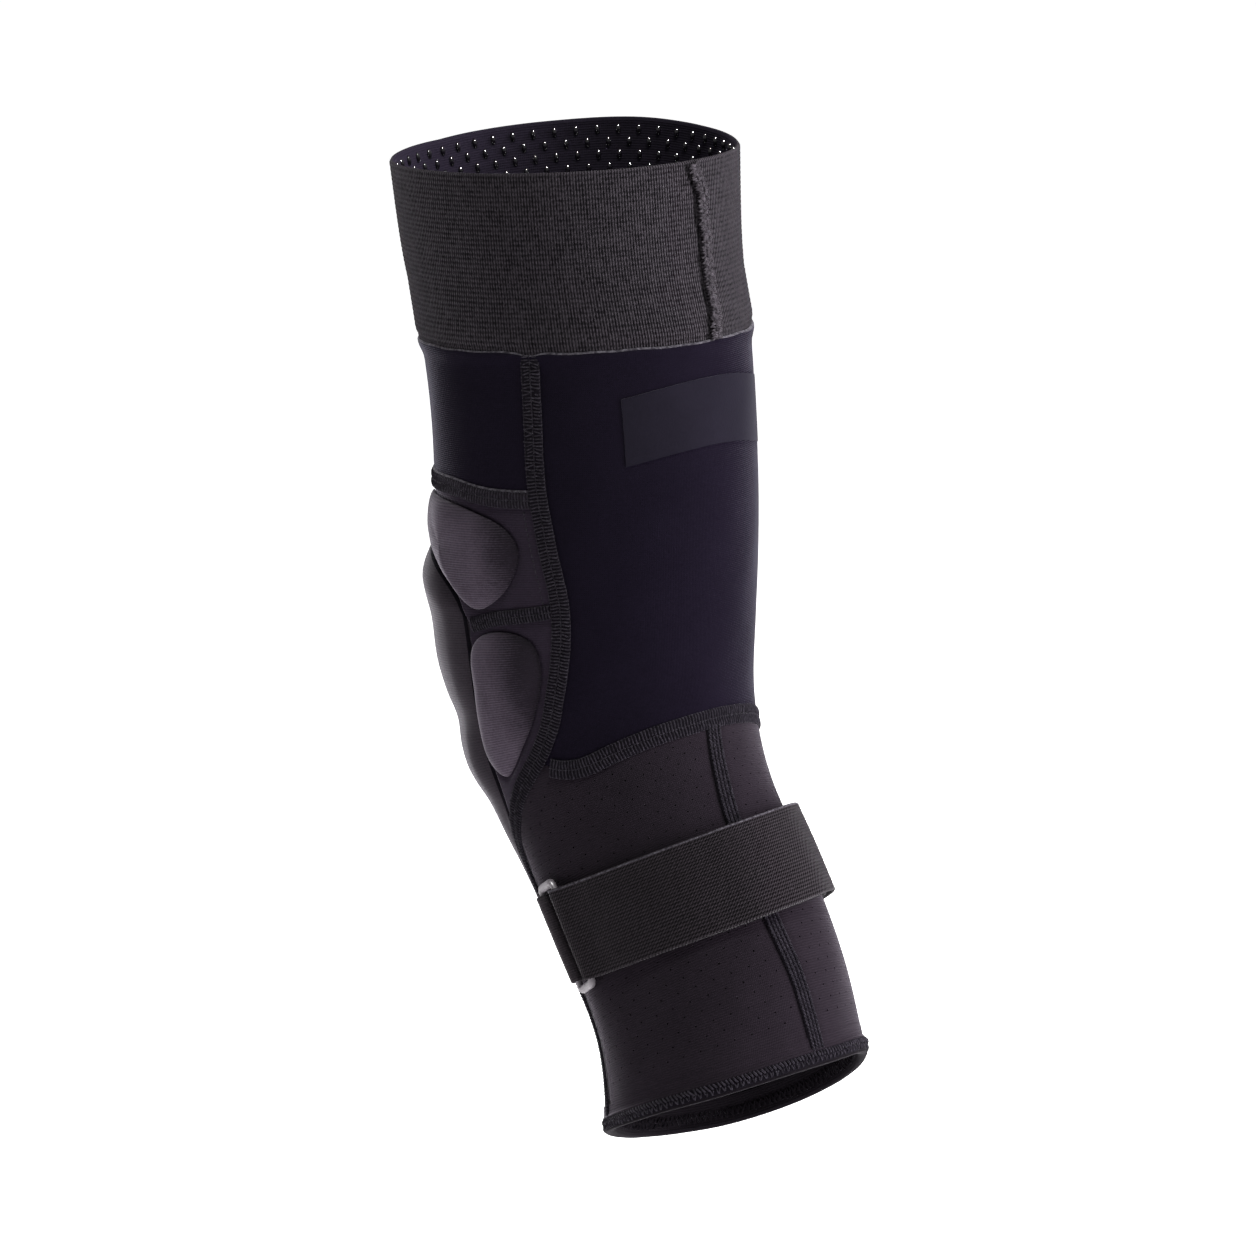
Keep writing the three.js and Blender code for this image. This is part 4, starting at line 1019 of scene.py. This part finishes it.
# The flat seams: panels butted edge to edge and joined by a wide ladder of thread on top.
# Each shows two raised rows of close cross stitches with a chain between them and a chain along each edge.
FLAT_SEAM = [  # share of half the width, height
    (-1, 0), (-0.93, 0.5), (-0.72, 0.8), (-0.38, 0.8), (-0.1, 0.5), (0, 0.38), (0.1, 0.5), (0.38, 0.8),
    (0.72, 0.8), (0.93, 0.5), (1, 0), (0.5, -0.22), (-0.5, -0.22),
]
FOLD = [(-1, -0.4), (-0.7, 0.3), (0, 0.5), (0.7, 0.3), (1, -0.4)]
SEAM_STEP, SEAM_TAPER, SEAMS_END, DASH_AHEAD, DASH_APART = 2.0, (252, 272), 375.2, 6.2, 2.1
SIDE_WIDE, SHIN_WIDE, THIGH_WIDE, MID_WIDE, KNEE_WIDE = 7.6, 4.4, 6.5, 5.5, 7.4
RUNG_AT, RUNG_LONG, RUNG_LEAN, CHAIN_AT = 0.245, 0.41, 0.1, 0.47
RUNG_WILD, TANGLE, TANGLE_OVER = 0.07, 0.11, (128, 118)
SIDE_FROM, YOKE_DASHES, THIGH_REACH, KNEE_REACH, MID_REACH = 71.2, (131, 171), 111.4, (104, 256), (83, 116)


def flat_seam(
    seam_node, turn, down, width_at, wild_at=steady(RUNG_WILD), beside=(), fold=(), ground=tape
):
    """A flat seam along a path: its ground, its threads and any stitches or folded edge beside it."""
    band, rungs = along(turn, down, SEAM_STEP), along(turn, down, STITCH_APART)
    wide, wild = width_at(rungs[1]), wild_at(rungs[1])
    threads = gather(
        *(
            stitches_part(rungs, way * wide * RUNG_AT, wide * RUNG_LONG, way * RUNG_LEAN, 0.0, 0.5, wild)
            for way in (1, -1)
        ),
        stitches_part(rungs, 0.0, 1.1, 12.0, 0.0, 0.3),
        *(stitches_part(rungs, way * wide * CHAIN_AT, 1.0, 14.0, 0.0, 0.1) for way in (1, -1)),
        *beside,
    )
    parts = [band_part(band, FLAT_SEAM, width_at(band[1])), threads, *fold]
    seam = make_piece(seam_node.replace("seam", "stitching"), parts, ground, thread, cut_edge)
    fix(seam, "thread", seam_node)


def side_width(down):
    return SIDE_WIDE + (SHIN_WIDE - SIDE_WIDE) * ease(down, *SEAM_TAPER)


def side_wild(down):
    """Above the thigh seam the threads lie in a looser tangle."""
    return RUNG_WILD + TANGLE * ease(down, *TANGLE_OVER)


side_downs = np.linspace(SIDE_FROM, SEAMS_END, 240)
yoke_downs = np.linspace(*YOKE_DASHES, 40)
for side, way in (("left", 1), ("right", -1)):
    dashes = along(way * (side_turn(yoke_downs) - DASH_AHEAD / SIDE_GIRTH), yoke_downs, DASH_APART)
    flat_seam(
        "side_seam_" + side, way * side_turn(side_downs), side_downs, side_width, side_wild,
        beside=[stitches_part(dashes, 0.0, 1.3, 20.0, -0.35, 0.15)],
    )
yoke_ground = fine_knit(
    "thigh_seam_ground", (0.0042, 0.0031, 0.005), (0.0105, 0.008, 0.012), 0.14, (0.88, 0.82, 0.94)
)
thigh_turns = np.linspace(-THIGH_REACH, THIGH_REACH, 200)
thigh_fold = along(thigh_turns, thigh_down(thigh_turns) - THIGH_WIDE / 2 - 0.2, SEAM_STEP)
flat_seam(
    "thigh_seam", thigh_turns, thigh_down(thigh_turns), steady(THIGH_WIDE),
    fold=[band_part(thigh_fold, FOLD, 0.9)], ground=yoke_ground,
)
knee_turns = np.linspace(*KNEE_REACH, 140)
flat_seam("back_knee_seam", knee_turns, knee_down(knee_turns), steady(KNEE_WIDE))
mid_turns = np.linspace(*MID_REACH, 50)
for side, way in (("left", 1), ("right", -1)):
    flat_seam("mid_seam_" + side, way * mid_turns, yoke_down(mid_turns), steady(MID_WIDE))

# The calf seam: the two neoprene panels butted edge to edge down the middle of the calf and covered with a
# flat ground of thread and four close rows of chain stitch.
CALF_SEAM_WIDE, CALF_SEAM_FROM, CALF_ROWS_AT = 7.0, 238, (-0.36, -0.12, 0.12, 0.36)
CHAIN_APART, CHAIN_LONG, CHAIN_LEAN = 1.5, 1.6, 1.6
FLAT_TAPE = [  # share of half the width, height
    (-1, 0), (-0.9, 0.45), (-0.4, 0.62), (0, 0.66), (0.4, 0.62), (0.9, 0.45), (1, 0), (0.5, -0.22),
    (-0.5, -0.22),
]

calf_downs = np.linspace(CALF_SEAM_FROM, SEAMS_END, 120)
calf_band = along(calf_curve(calf_downs), calf_downs, SEAM_STEP)
calf_chain = along(calf_curve(calf_downs), calf_downs, CHAIN_APART)
chains = [
    stitches_part(calf_chain, share * CALF_SEAM_WIDE, CHAIN_LONG, lean, 0.0, 0.5)
    for share in CALF_ROWS_AT for lean in (CHAIN_LEAN, -CHAIN_LEAN)
]
calf_seam = make_piece(
    "calf_stitching", [band_part(calf_band, FLAT_TAPE, CALF_SEAM_WIDE), gather(*chains)], tape, thread
)
fix(calf_seam, "thread", "calf_seam")

# The hem: the sleeve's lower end turned in, rolled to a soft rim and overlocked with slanting thread.
# Outside, stout stitches run along the roll with a zigzag below them; a wider zigzag holds the edge inside.
HEM_FROM, HEM_TO, HEM_PROUD, HEM_INSIDE, HEM_RIM = 370.8, 381.4, 0.9, 3.6, 1.6
HEM_ROPE, HEM_ZIGZAG, ROPE_AT, ZIGZAG_AT, INSIDE_AT, HEM_ROWS = 1.6, 2.4, 377.2, 379.2, 376.6, 32
SHIN_PROUD, SHIN_SIDES, SHIN_ENDS = 0.8, (62, 45), (379, 374)
ROLL_FROM, STITCHED, HEM_SINK, VALLEY_DEEP, VALLEY_WIDE = (374.2, 376.2), (375.8, 380.2), 0.8, 0.3, 0.7
HEM_WILD, ZAG_STARTS = 0.12, 0.8

hem_turns = np.linspace(0, 360, 145)[:, None]
hem_downs = np.linspace(HEM_FROM, HEM_TO, HEM_ROWS + 1)[None, :]
hem_tuck = HEM_RIM * (1 - np.sqrt(1 - np.clip((hem_downs - HEM_TO + HEM_RIM) / HEM_RIM, 0, 1) ** 2))
hem_sink = (HEM_SINK - soft(hem_turns, hem_downs)) * (1 - ease(hem_downs, *ROLL_FROM))
hem_valley = VALLEY_DEEP * np.exp(-(((hem_downs - STITCHED[1]) / VALLEY_WIDE) ** 2))
hem_shin = ease(np.minimum(hem_turns, 360 - hem_turns), *SHIN_SIDES) * ease(hem_downs, *SHIN_ENDS)
hem_face = HEM_PROUD - hem_tuck - hem_sink - hem_valley + SHIN_PROUD * hem_shin
hem_part = leg_sheet(hem_turns, hem_downs, hem_face, hem_tuck - HEM_INSIDE, CALF_GIRTH, hoop=True)
rope, zig, zag, inside_zig, inside_zag = (
    along(np.linspace(0, 360, 400)[:-1] + start, at, step)
    for start, at, step in (
        (0, ROPE_AT, HEM_ROPE), (0, ZIGZAG_AT, HEM_ZIGZAG), (ZAG_STARTS, ZIGZAG_AT, HEM_ZIGZAG),
        (0, INSIDE_AT, HEM_ZIGZAG), (ZAG_STARTS, INSIDE_AT, HEM_ZIGZAG),
    )
)
hem_threads = gather(
    stitches_part(rope, 0.0, 2.5, 0.6, HEM_PROUD - 0.1, 0.0, HEM_WILD, thick=1.5),
    stitches_part(zig, 0.0, 1.9, 0.35, HEM_PROUD, -0.15, HEM_WILD),
    stitches_part(zag, 0.0, 1.8, -0.4, HEM_PROUD, -0.25, HEM_WILD),
    stitches_part(inside_zig, 0.0, 4.4, 0.35, -HEM_INSIDE, 0.1, HEM_WILD, thick=1.4, inside=True),
    stitches_part(inside_zag, 0.0, 4.4, -0.35, -HEM_INSIDE, 0.0, HEM_WILD, thick=1.4, inside=True),
)
hem = make_piece("hem_roll", [hem_part, hem_threads], neoprene, thread)
# Painted shade: the faces inside the hem take the dark inside finish.
line_and_shade_inside(hem, lining_and_shade)
hem.data.materials.append(tape)
hem.data.materials.append(cover_knit)
hem_faces = HEM_ROWS * (len(hem_turns) - 1)
# Painted shade: the hem's inner face, both rims and the outer rows below the stitching take the dark inside
# finish, as the shade under and inside the roll.
for face in hem.data.polygons[hem_faces : 2 * (hem_faces + len(hem_turns) - 1)]:
    face.material_index = 2
for face in hem.data.polygons[:hem_faces]:
    if STITCHED[0] < hem_downs[0, face.index % HEM_ROWS] < STITCHED[1]:
        face.material_index = 3
    elif hem_downs[0, face.index % HEM_ROWS] > STITCHED[1]:
        face.material_index = 2
    elif abs((hem_turns[face.index // HEM_ROWS, 0] + 180) % 360 - 180) < side_turn(PANEL_END):
        face.material_index = 4
fix(hem, "neoprene", "hem_band")

# The ring: a flat rectangular loop of moulded plastic, mid grey and satin, on the side of the calf.
# Its long rear bar carries the strap and its front bar the tab; its short ends show past the webbing.
RING_TURN, RING_HALF, RING_BAR, RING_SLOT, RING_CORNER = 80, 5.6, 2.2, 39.2, 2.6
RING_END_WIDE, RING_END_THICK, RING_ROUND, RING_SMOOTH = 0.5, 0.4, 0.95, 50
STRAP_THICK, STRAP_LOW, THREAD_CLEAR, THREAD_SETTLE, RING_SINK = 1.4, 0.5, 0.45, 10, 0.3
STRAP_GIRTH = 0.87
BAR_OUT = STRAP_LOW + STRAP_THICK + THREAD_CLEAR + RING_BAR / 2
BAR_TURN = (RING_HALF - RING_BAR / 2) / STRAP_GIRTH
STRAP_LINE = [  # turn, down
    (40, 298), (78, 301), (108, 304.5), (135, 306.5), (160, 307), (180, 306), (220, 302), (305, 297),
]
strap_line = through(STRAP_LINE)

plastic = new_finish("ring_plastic", Specular_IOR_Level=0.4)
plastic_grit, plastic_cloud = grain(plastic, 0.0006), grain(plastic, 0.006, 3.0)
feed(plastic, node(plastic, "MapRange", Value=plastic_cloud, To_Min=0.32, To_Max=0.5)[0], "Roughness")
finish_cloth(plastic, plastic_grit, plastic_cloud, (0.16, 0.145, 0.16), (0.235, 0.213, 0.235), 0.00003)

bpy.ops.mesh.primitive_plane_add(size=2)
ring = bpy.context.object
ring.name = "ring"
ring.scale = (RING_HALF * MM, (RING_SLOT / 2 + RING_BAR) * MM, 1)
bpy.ops.object.transform_apply(scale=True)
bpy.ops.object.mode_set(mode="EDIT")
bpy.ops.mesh.select_all(action="SELECT")
bpy.ops.mesh.bevel(offset=RING_CORNER * MM, segments=6, affect="VERTICES")
bpy.ops.mesh.select_all(action="SELECT")
bpy.ops.mesh.inset(thickness=RING_BAR * MM)
bpy.ops.mesh.delete(type="FACE")
bpy.ops.mesh.select_all(action="SELECT")
bpy.ops.mesh.extrude_region_move(TRANSFORM_OT_translate={"value": (0, 0, RING_BAR * MM)})
bpy.ops.mesh.select_all(action="SELECT")
bpy.ops.mesh.normals_make_consistent(inside=False)
bpy.ops.object.mode_set(mode="OBJECT")
rounded_bars = ring.modifiers.new("rounded bars", "BEVEL")
rounded_bars.width = RING_ROUND * MM
rounded_bars.segments = 4
rounded_bars.limit_method = "ANGLE"
bpy.ops.object.modifier_apply(modifier=rounded_bars.name)
for vertex in ring.data.vertices:
    past = abs(vertex.co.y) / MM - RING_SLOT / 2
    vertex.co.y += math.copysign(max(0.0, past) * RING_END_WIDE * MM, vertex.co.y)
    vertex.co.z += (vertex.co.z - RING_BAR / 2 * MM) * RING_END_THICK * float(ease(past, -1.5, 0.8))

ring_middle = float(strap_line(RING_TURN))
ring_out = BAR_OUT - RING_SINK
ring_ends = [on_leg(RING_TURN, ring_middle + way * (RING_SLOT / 2 + RING_BAR), ring_out) for way in (-1, 1)]
ring_bars = [on_leg(RING_TURN + way * BAR_TURN, ring_middle, ring_out) for way in (-1, 1)]
ring_up = Vector(ring_ends[0] - ring_ends[1]).normalized()
ring_away = Vector(ring_bars[1] - ring_bars[0]).cross(ring_up).normalized()
ring_frame = Matrix([ring_up.cross(ring_away), ring_up, ring_away]).transposed().to_4x4()
ring_frame.translation = Vector(on_leg(RING_TURN, ring_middle, ring_out)) - ring_away * RING_BAR / 2 * MM
ring.data.transform(ring_frame)
ring.data.materials.append(plastic)
bpy.ops.object.shade_smooth_by_angle(angle=math.radians(RING_SMOOTH))
ring.select_set(False)
fix(ring, "ring_plastic", "strap_ring")

# The strap: 38 mm ribbed elastic webbing, sewn to the sleeve at the far side seam, taken round the calf and
# through the ring, then doubled back on itself. Its free end presses on to it with hook and loop.
STRAP_WIDE, STRAP_ANCHOR, STRAP_END = 38, 302, 250
STRAP_RIDE = [  # turn, height of the inner run, slack under the outer run
    (70, 0.5, 0.4), (142, 0.5, 0.4), (149, 0.5, 0.4), (160, 1.6, 0.4), (177, 1.6, 0.6), (188, 0.6, 1.8),
    (196, 0.6, 2.4), (222, 0.6, 2.3), (250, 0.6, 0.8), (282, 0.6, 0.4), (289, 0.6, 0.4), (300, 1.6, 0.4),
]
WEB_RIB, WEB_RIB_HIGH, SELVEDGE, SELVEDGE_HIGHLIGHT_ROWS = 1.3, 0.18, 0.9, (1, 2)
ride_low, ride_slack = through(STRAP_RIDE, 1), through(STRAP_RIDE, 2)

webbing = new_cloth("elastic_webbing", 0.9, 0.03, 0.2, 0.3, (0.9, 0.87, 0.92))
web_u, web_v = cloth_coordinates(webbing)
web_rib = wave(webbing, web_v, WEB_RIB * MM)
web_twill = wave(webbing, weighed(webbing, (web_v, 0.9), (web_u, 1.0)), 0.0012)
web_fleck = grain(webbing, 0.0009, 1.0)
web_height = weighed(webbing, (web_rib, 0.6), (web_twill, 0.6))
web_weave = weighed(webbing, (web_rib, 0.45), (web_fleck, 0.6), (web_twill, 0.5))
# Painted highlight: a thin lighter line along the webbing's upper selvedge, which catches the light from
# above; the lower selvedge has none.
web_top_highlight = spread(webbing, calc(webbing, "MULTIPLY", web_v, -1.0), 0.0176, 0.018)
web_tone = calc(webbing, "MAXIMUM", spread(webbing, web_weave, 0.5, 1.1), web_top_highlight)
finish_cloth(webbing, web_height, web_tone, (0.0017, 0.0013, 0.0017), (0.0258, 0.0212, 0.0253), 0.0003)


def web_part(bar, way, inner_end, outer_end, wide, thick, under, over, rib_high):
    """Webbing that runs in under a bar, folds round it and comes back on top."""
    fold = RING_BAR / 2 + THREAD_CLEAR + thick / 2

    def run(start, end, at_bar, away):
        turns = np.linspace(start, end, max(3, round(abs(end - start) * STRAP_GIRTH / 2) + 1))
        settled = ease(np.abs(turns - bar) * STRAP_GIRTH, 0, THREAD_SETTLE)
        return turns, at_bar + (away(turns) - at_bar) * settled

    swing = np.linspace(0, math.pi, 14)[1:-1]
    runs = [run(inner_end, bar, BAR_OUT - fold, under)]
    runs.append((bar - way * fold * np.sin(swing) / STRAP_GIRTH, BAR_OUT - fold * np.cos(swing)))
    runs.append(run(bar, outer_end, BAR_OUT + fold, over))
    line = np.stack([np.concatenate([r[k] for r in runs]) for k in (0, 1)], -1) * (STRAP_GIRTH, 1)
    ahead = unit(np.gradient(line, axis=0))
    walked = walk(line)
    offsets = np.linspace(-wide / 2, wide / 2, round(wide / WEB_RIB * 4) + 1)
    edge = np.clip((wide / 2 - np.abs(offsets)) / SELVEDGE, 0, 1)
    half = thick / 2 * np.sqrt(np.clip(1 - (1 - edge) ** 2.4, 0.06, 1))
    half = half + rib_high * (np.cos(math.tau * offsets / WEB_RIB) - 1) / 2 * ease(edge, 0.6, 1)

    def face(way_out):
        shift = way_out * half[None, :, None] * np.stack([-ahead[:, 1], ahead[:, 0]], -1)[:, None]
        moved = line[:, None] + shift
        turn = moved[..., 0] / STRAP_GIRTH
        return on_leg(turn, strap_line(turn) + offsets[None, :], moved[..., 1])

    uv = np.stack(np.broadcast_arrays(walked[:, None], offsets[None, :]), -1) * MM
    return sheet_part(face(1), face(-1), uv) if way > 0 else sheet_part(face(-1), face(1), uv)


strap_part = web_part(
    RING_TURN + BAR_TURN, 1, STRAP_ANCHOR, STRAP_END, STRAP_WIDE, STRAP_THICK,
    lambda turn: ride_low(turn) + STRAP_THICK / 2,
    lambda turn: ride_low(turn) + 1.5 * STRAP_THICK + ride_slack(turn), WEB_RIB_HIGH,
)
strap = make_piece("calf_strap", [strap_part], webbing, cut_edge)
strap_rows = round(STRAP_WIDE / WEB_RIB * 4)
# Painted highlight: the rows along the upper selvedge take the lighter cut edge finish, as light caught by
# the top of the webbing.
for face in strap.data.polygons[: (len(strap.data.polygons) // 2 // strap_rows) * strap_rows]:
    if face.index % strap_rows in SELVEDGE_HIGHLIGHT_ROWS:
        face.material_index = 1
fix(strap, "webbing", "strap")

# The ring's tab: a short loop of grey webbing folded round the ring's front bar and sewn into the shin seam.
# It is a little narrower than the strap and keeps the ring in its place on the side of the calf.
TAB_WIDE, TAB_THICK, TAB_LOW, TAB_END, TAB_DIPS_FROM, TAB_RIB_HIGH = 36, 1.2, 0.5, 61, 69, 0.1
tab_part = web_part(
    RING_TURN - BAR_TURN, -1, TAB_END, TAB_END, TAB_WIDE, TAB_THICK,
    lambda turn: TAB_LOW + TAB_THICK / 2 - 0.9 * ease(turn, TAB_DIPS_FROM, TAB_END),
    lambda turn: TAB_LOW + 1.5 * TAB_THICK + 0.35 - 1.7 * ease(turn, TAB_DIPS_FROM, TAB_END), TAB_RIB_HIGH,
)
tab_webbing = fine_knit("tab_webbing", (0.007, 0.0058, 0.007), (0.04, 0.0335, 0.039), 0.08, (0.9, 0.87, 0.92))
tab = make_piece("tab", [tab_part], tab_webbing)
fix(tab, "webbing", "ring_tab")

# The studio: a plain pale floor well below the guard, which is held up by its leg hollow, faint light all
# round, a soft box on each side, a small lamp above and another there that only glints on gloss, and the
# camera behind and to the left of the knee.
FLOOR_DROP, FLOOR_SIZE, FLOOR_PALE, FLOOR_GLOW, SKY_GLOW = -0.46, 40, 0.95, 0.78, 0.22
AZIMUTH, ELEVATION, DISTANCE, PHOTO_SIDE, MM_PER_PIXEL = 134, 12, 4.0, 1256, 0.39
AIM_RIGHT, AIM_UP = 0.01404, -0.01092

bpy.ops.mesh.primitive_plane_add(size=FLOOR_SIZE, location=(0, 0, FLOOR_DROP))
floor = bpy.context.object
floor.name = "floor"
floor.select_set(False)
paper = new_finish(
    "pale_floor", Roughness=0.9, Specular_IOR_Level=0.0, Base_Color=(FLOOR_PALE, FLOOR_PALE, FLOOR_PALE, 1),
    Emission_Color=(1, 1, 1, 1), Emission_Strength=FLOOR_GLOW,
)
floor.data.materials.append(paper)

world = bpy.data.worlds.new("studio")
world.use_nodes = True
world.node_tree.nodes["Background"].inputs["Color"].default_value = (1, 1, 1, 1)
world.node_tree.nodes["Background"].inputs["Strength"].default_value = SKY_GLOW
bpy.context.scene.world = world
bpy.context.scene.view_settings.view_transform = "Standard"

azimuth, elevation = math.radians(AZIMUTH), math.radians(ELEVATION)
right = Vector((math.cos(azimuth), math.sin(azimuth), 0))
toward = Vector(
    (math.sin(azimuth) * math.cos(elevation), -math.cos(azimuth) * math.cos(elevation), math.sin(elevation))
)
upward = toward.cross(right)

SOFT_BOXES = [  # right, up, towards the camera, in metres; size; power; whether it only glints
    (-1.0, 0.5, -1.5, 1.0, 52, False),
    (1.85, 0.5, 0.12, 1.7, 122, False),
    (0.2, 1.6, 1.0, 0.16, 12, False),
    (0.1, 1.4, 1.0, 0.3, 110, True),
]
for n, (across, high, near, size, power, glints) in enumerate(SOFT_BOXES):
    box = bpy.data.lights.new(f"soft_box_{n}", "AREA")
    box.size = size
    box.energy = power
    lamp = bpy.data.objects.new(f"soft_box_{n}", box)
    lamp.location = right * across + upward * high + toward * near
    lamp.visible_diffuse, lamp.visible_glossy = not glints, glints
    lamp.rotation_mode = "QUATERNION"
    lamp.rotation_quaternion = (-lamp.location).to_track_quat("-Z", "Y")
    bpy.context.scene.collection.objects.link(lamp)

view = bpy.data.cameras.new("camera")
view.sensor_width = 36
view.lens = view.sensor_width * DISTANCE / (PHOTO_SIDE * MM_PER_PIXEL * MM)
view.clip_end = 100
camera = bpy.data.objects.new("camera", view)
camera.location = right * AIM_RIGHT + upward * AIM_UP + toward * DISTANCE
camera.rotation_mode = "QUATERNION"
camera.rotation_quaternion = (-toward).to_track_quat("-Z", "Y")
bpy.context.scene.collection.objects.link(camera)
bpy.context.scene.camera = camera
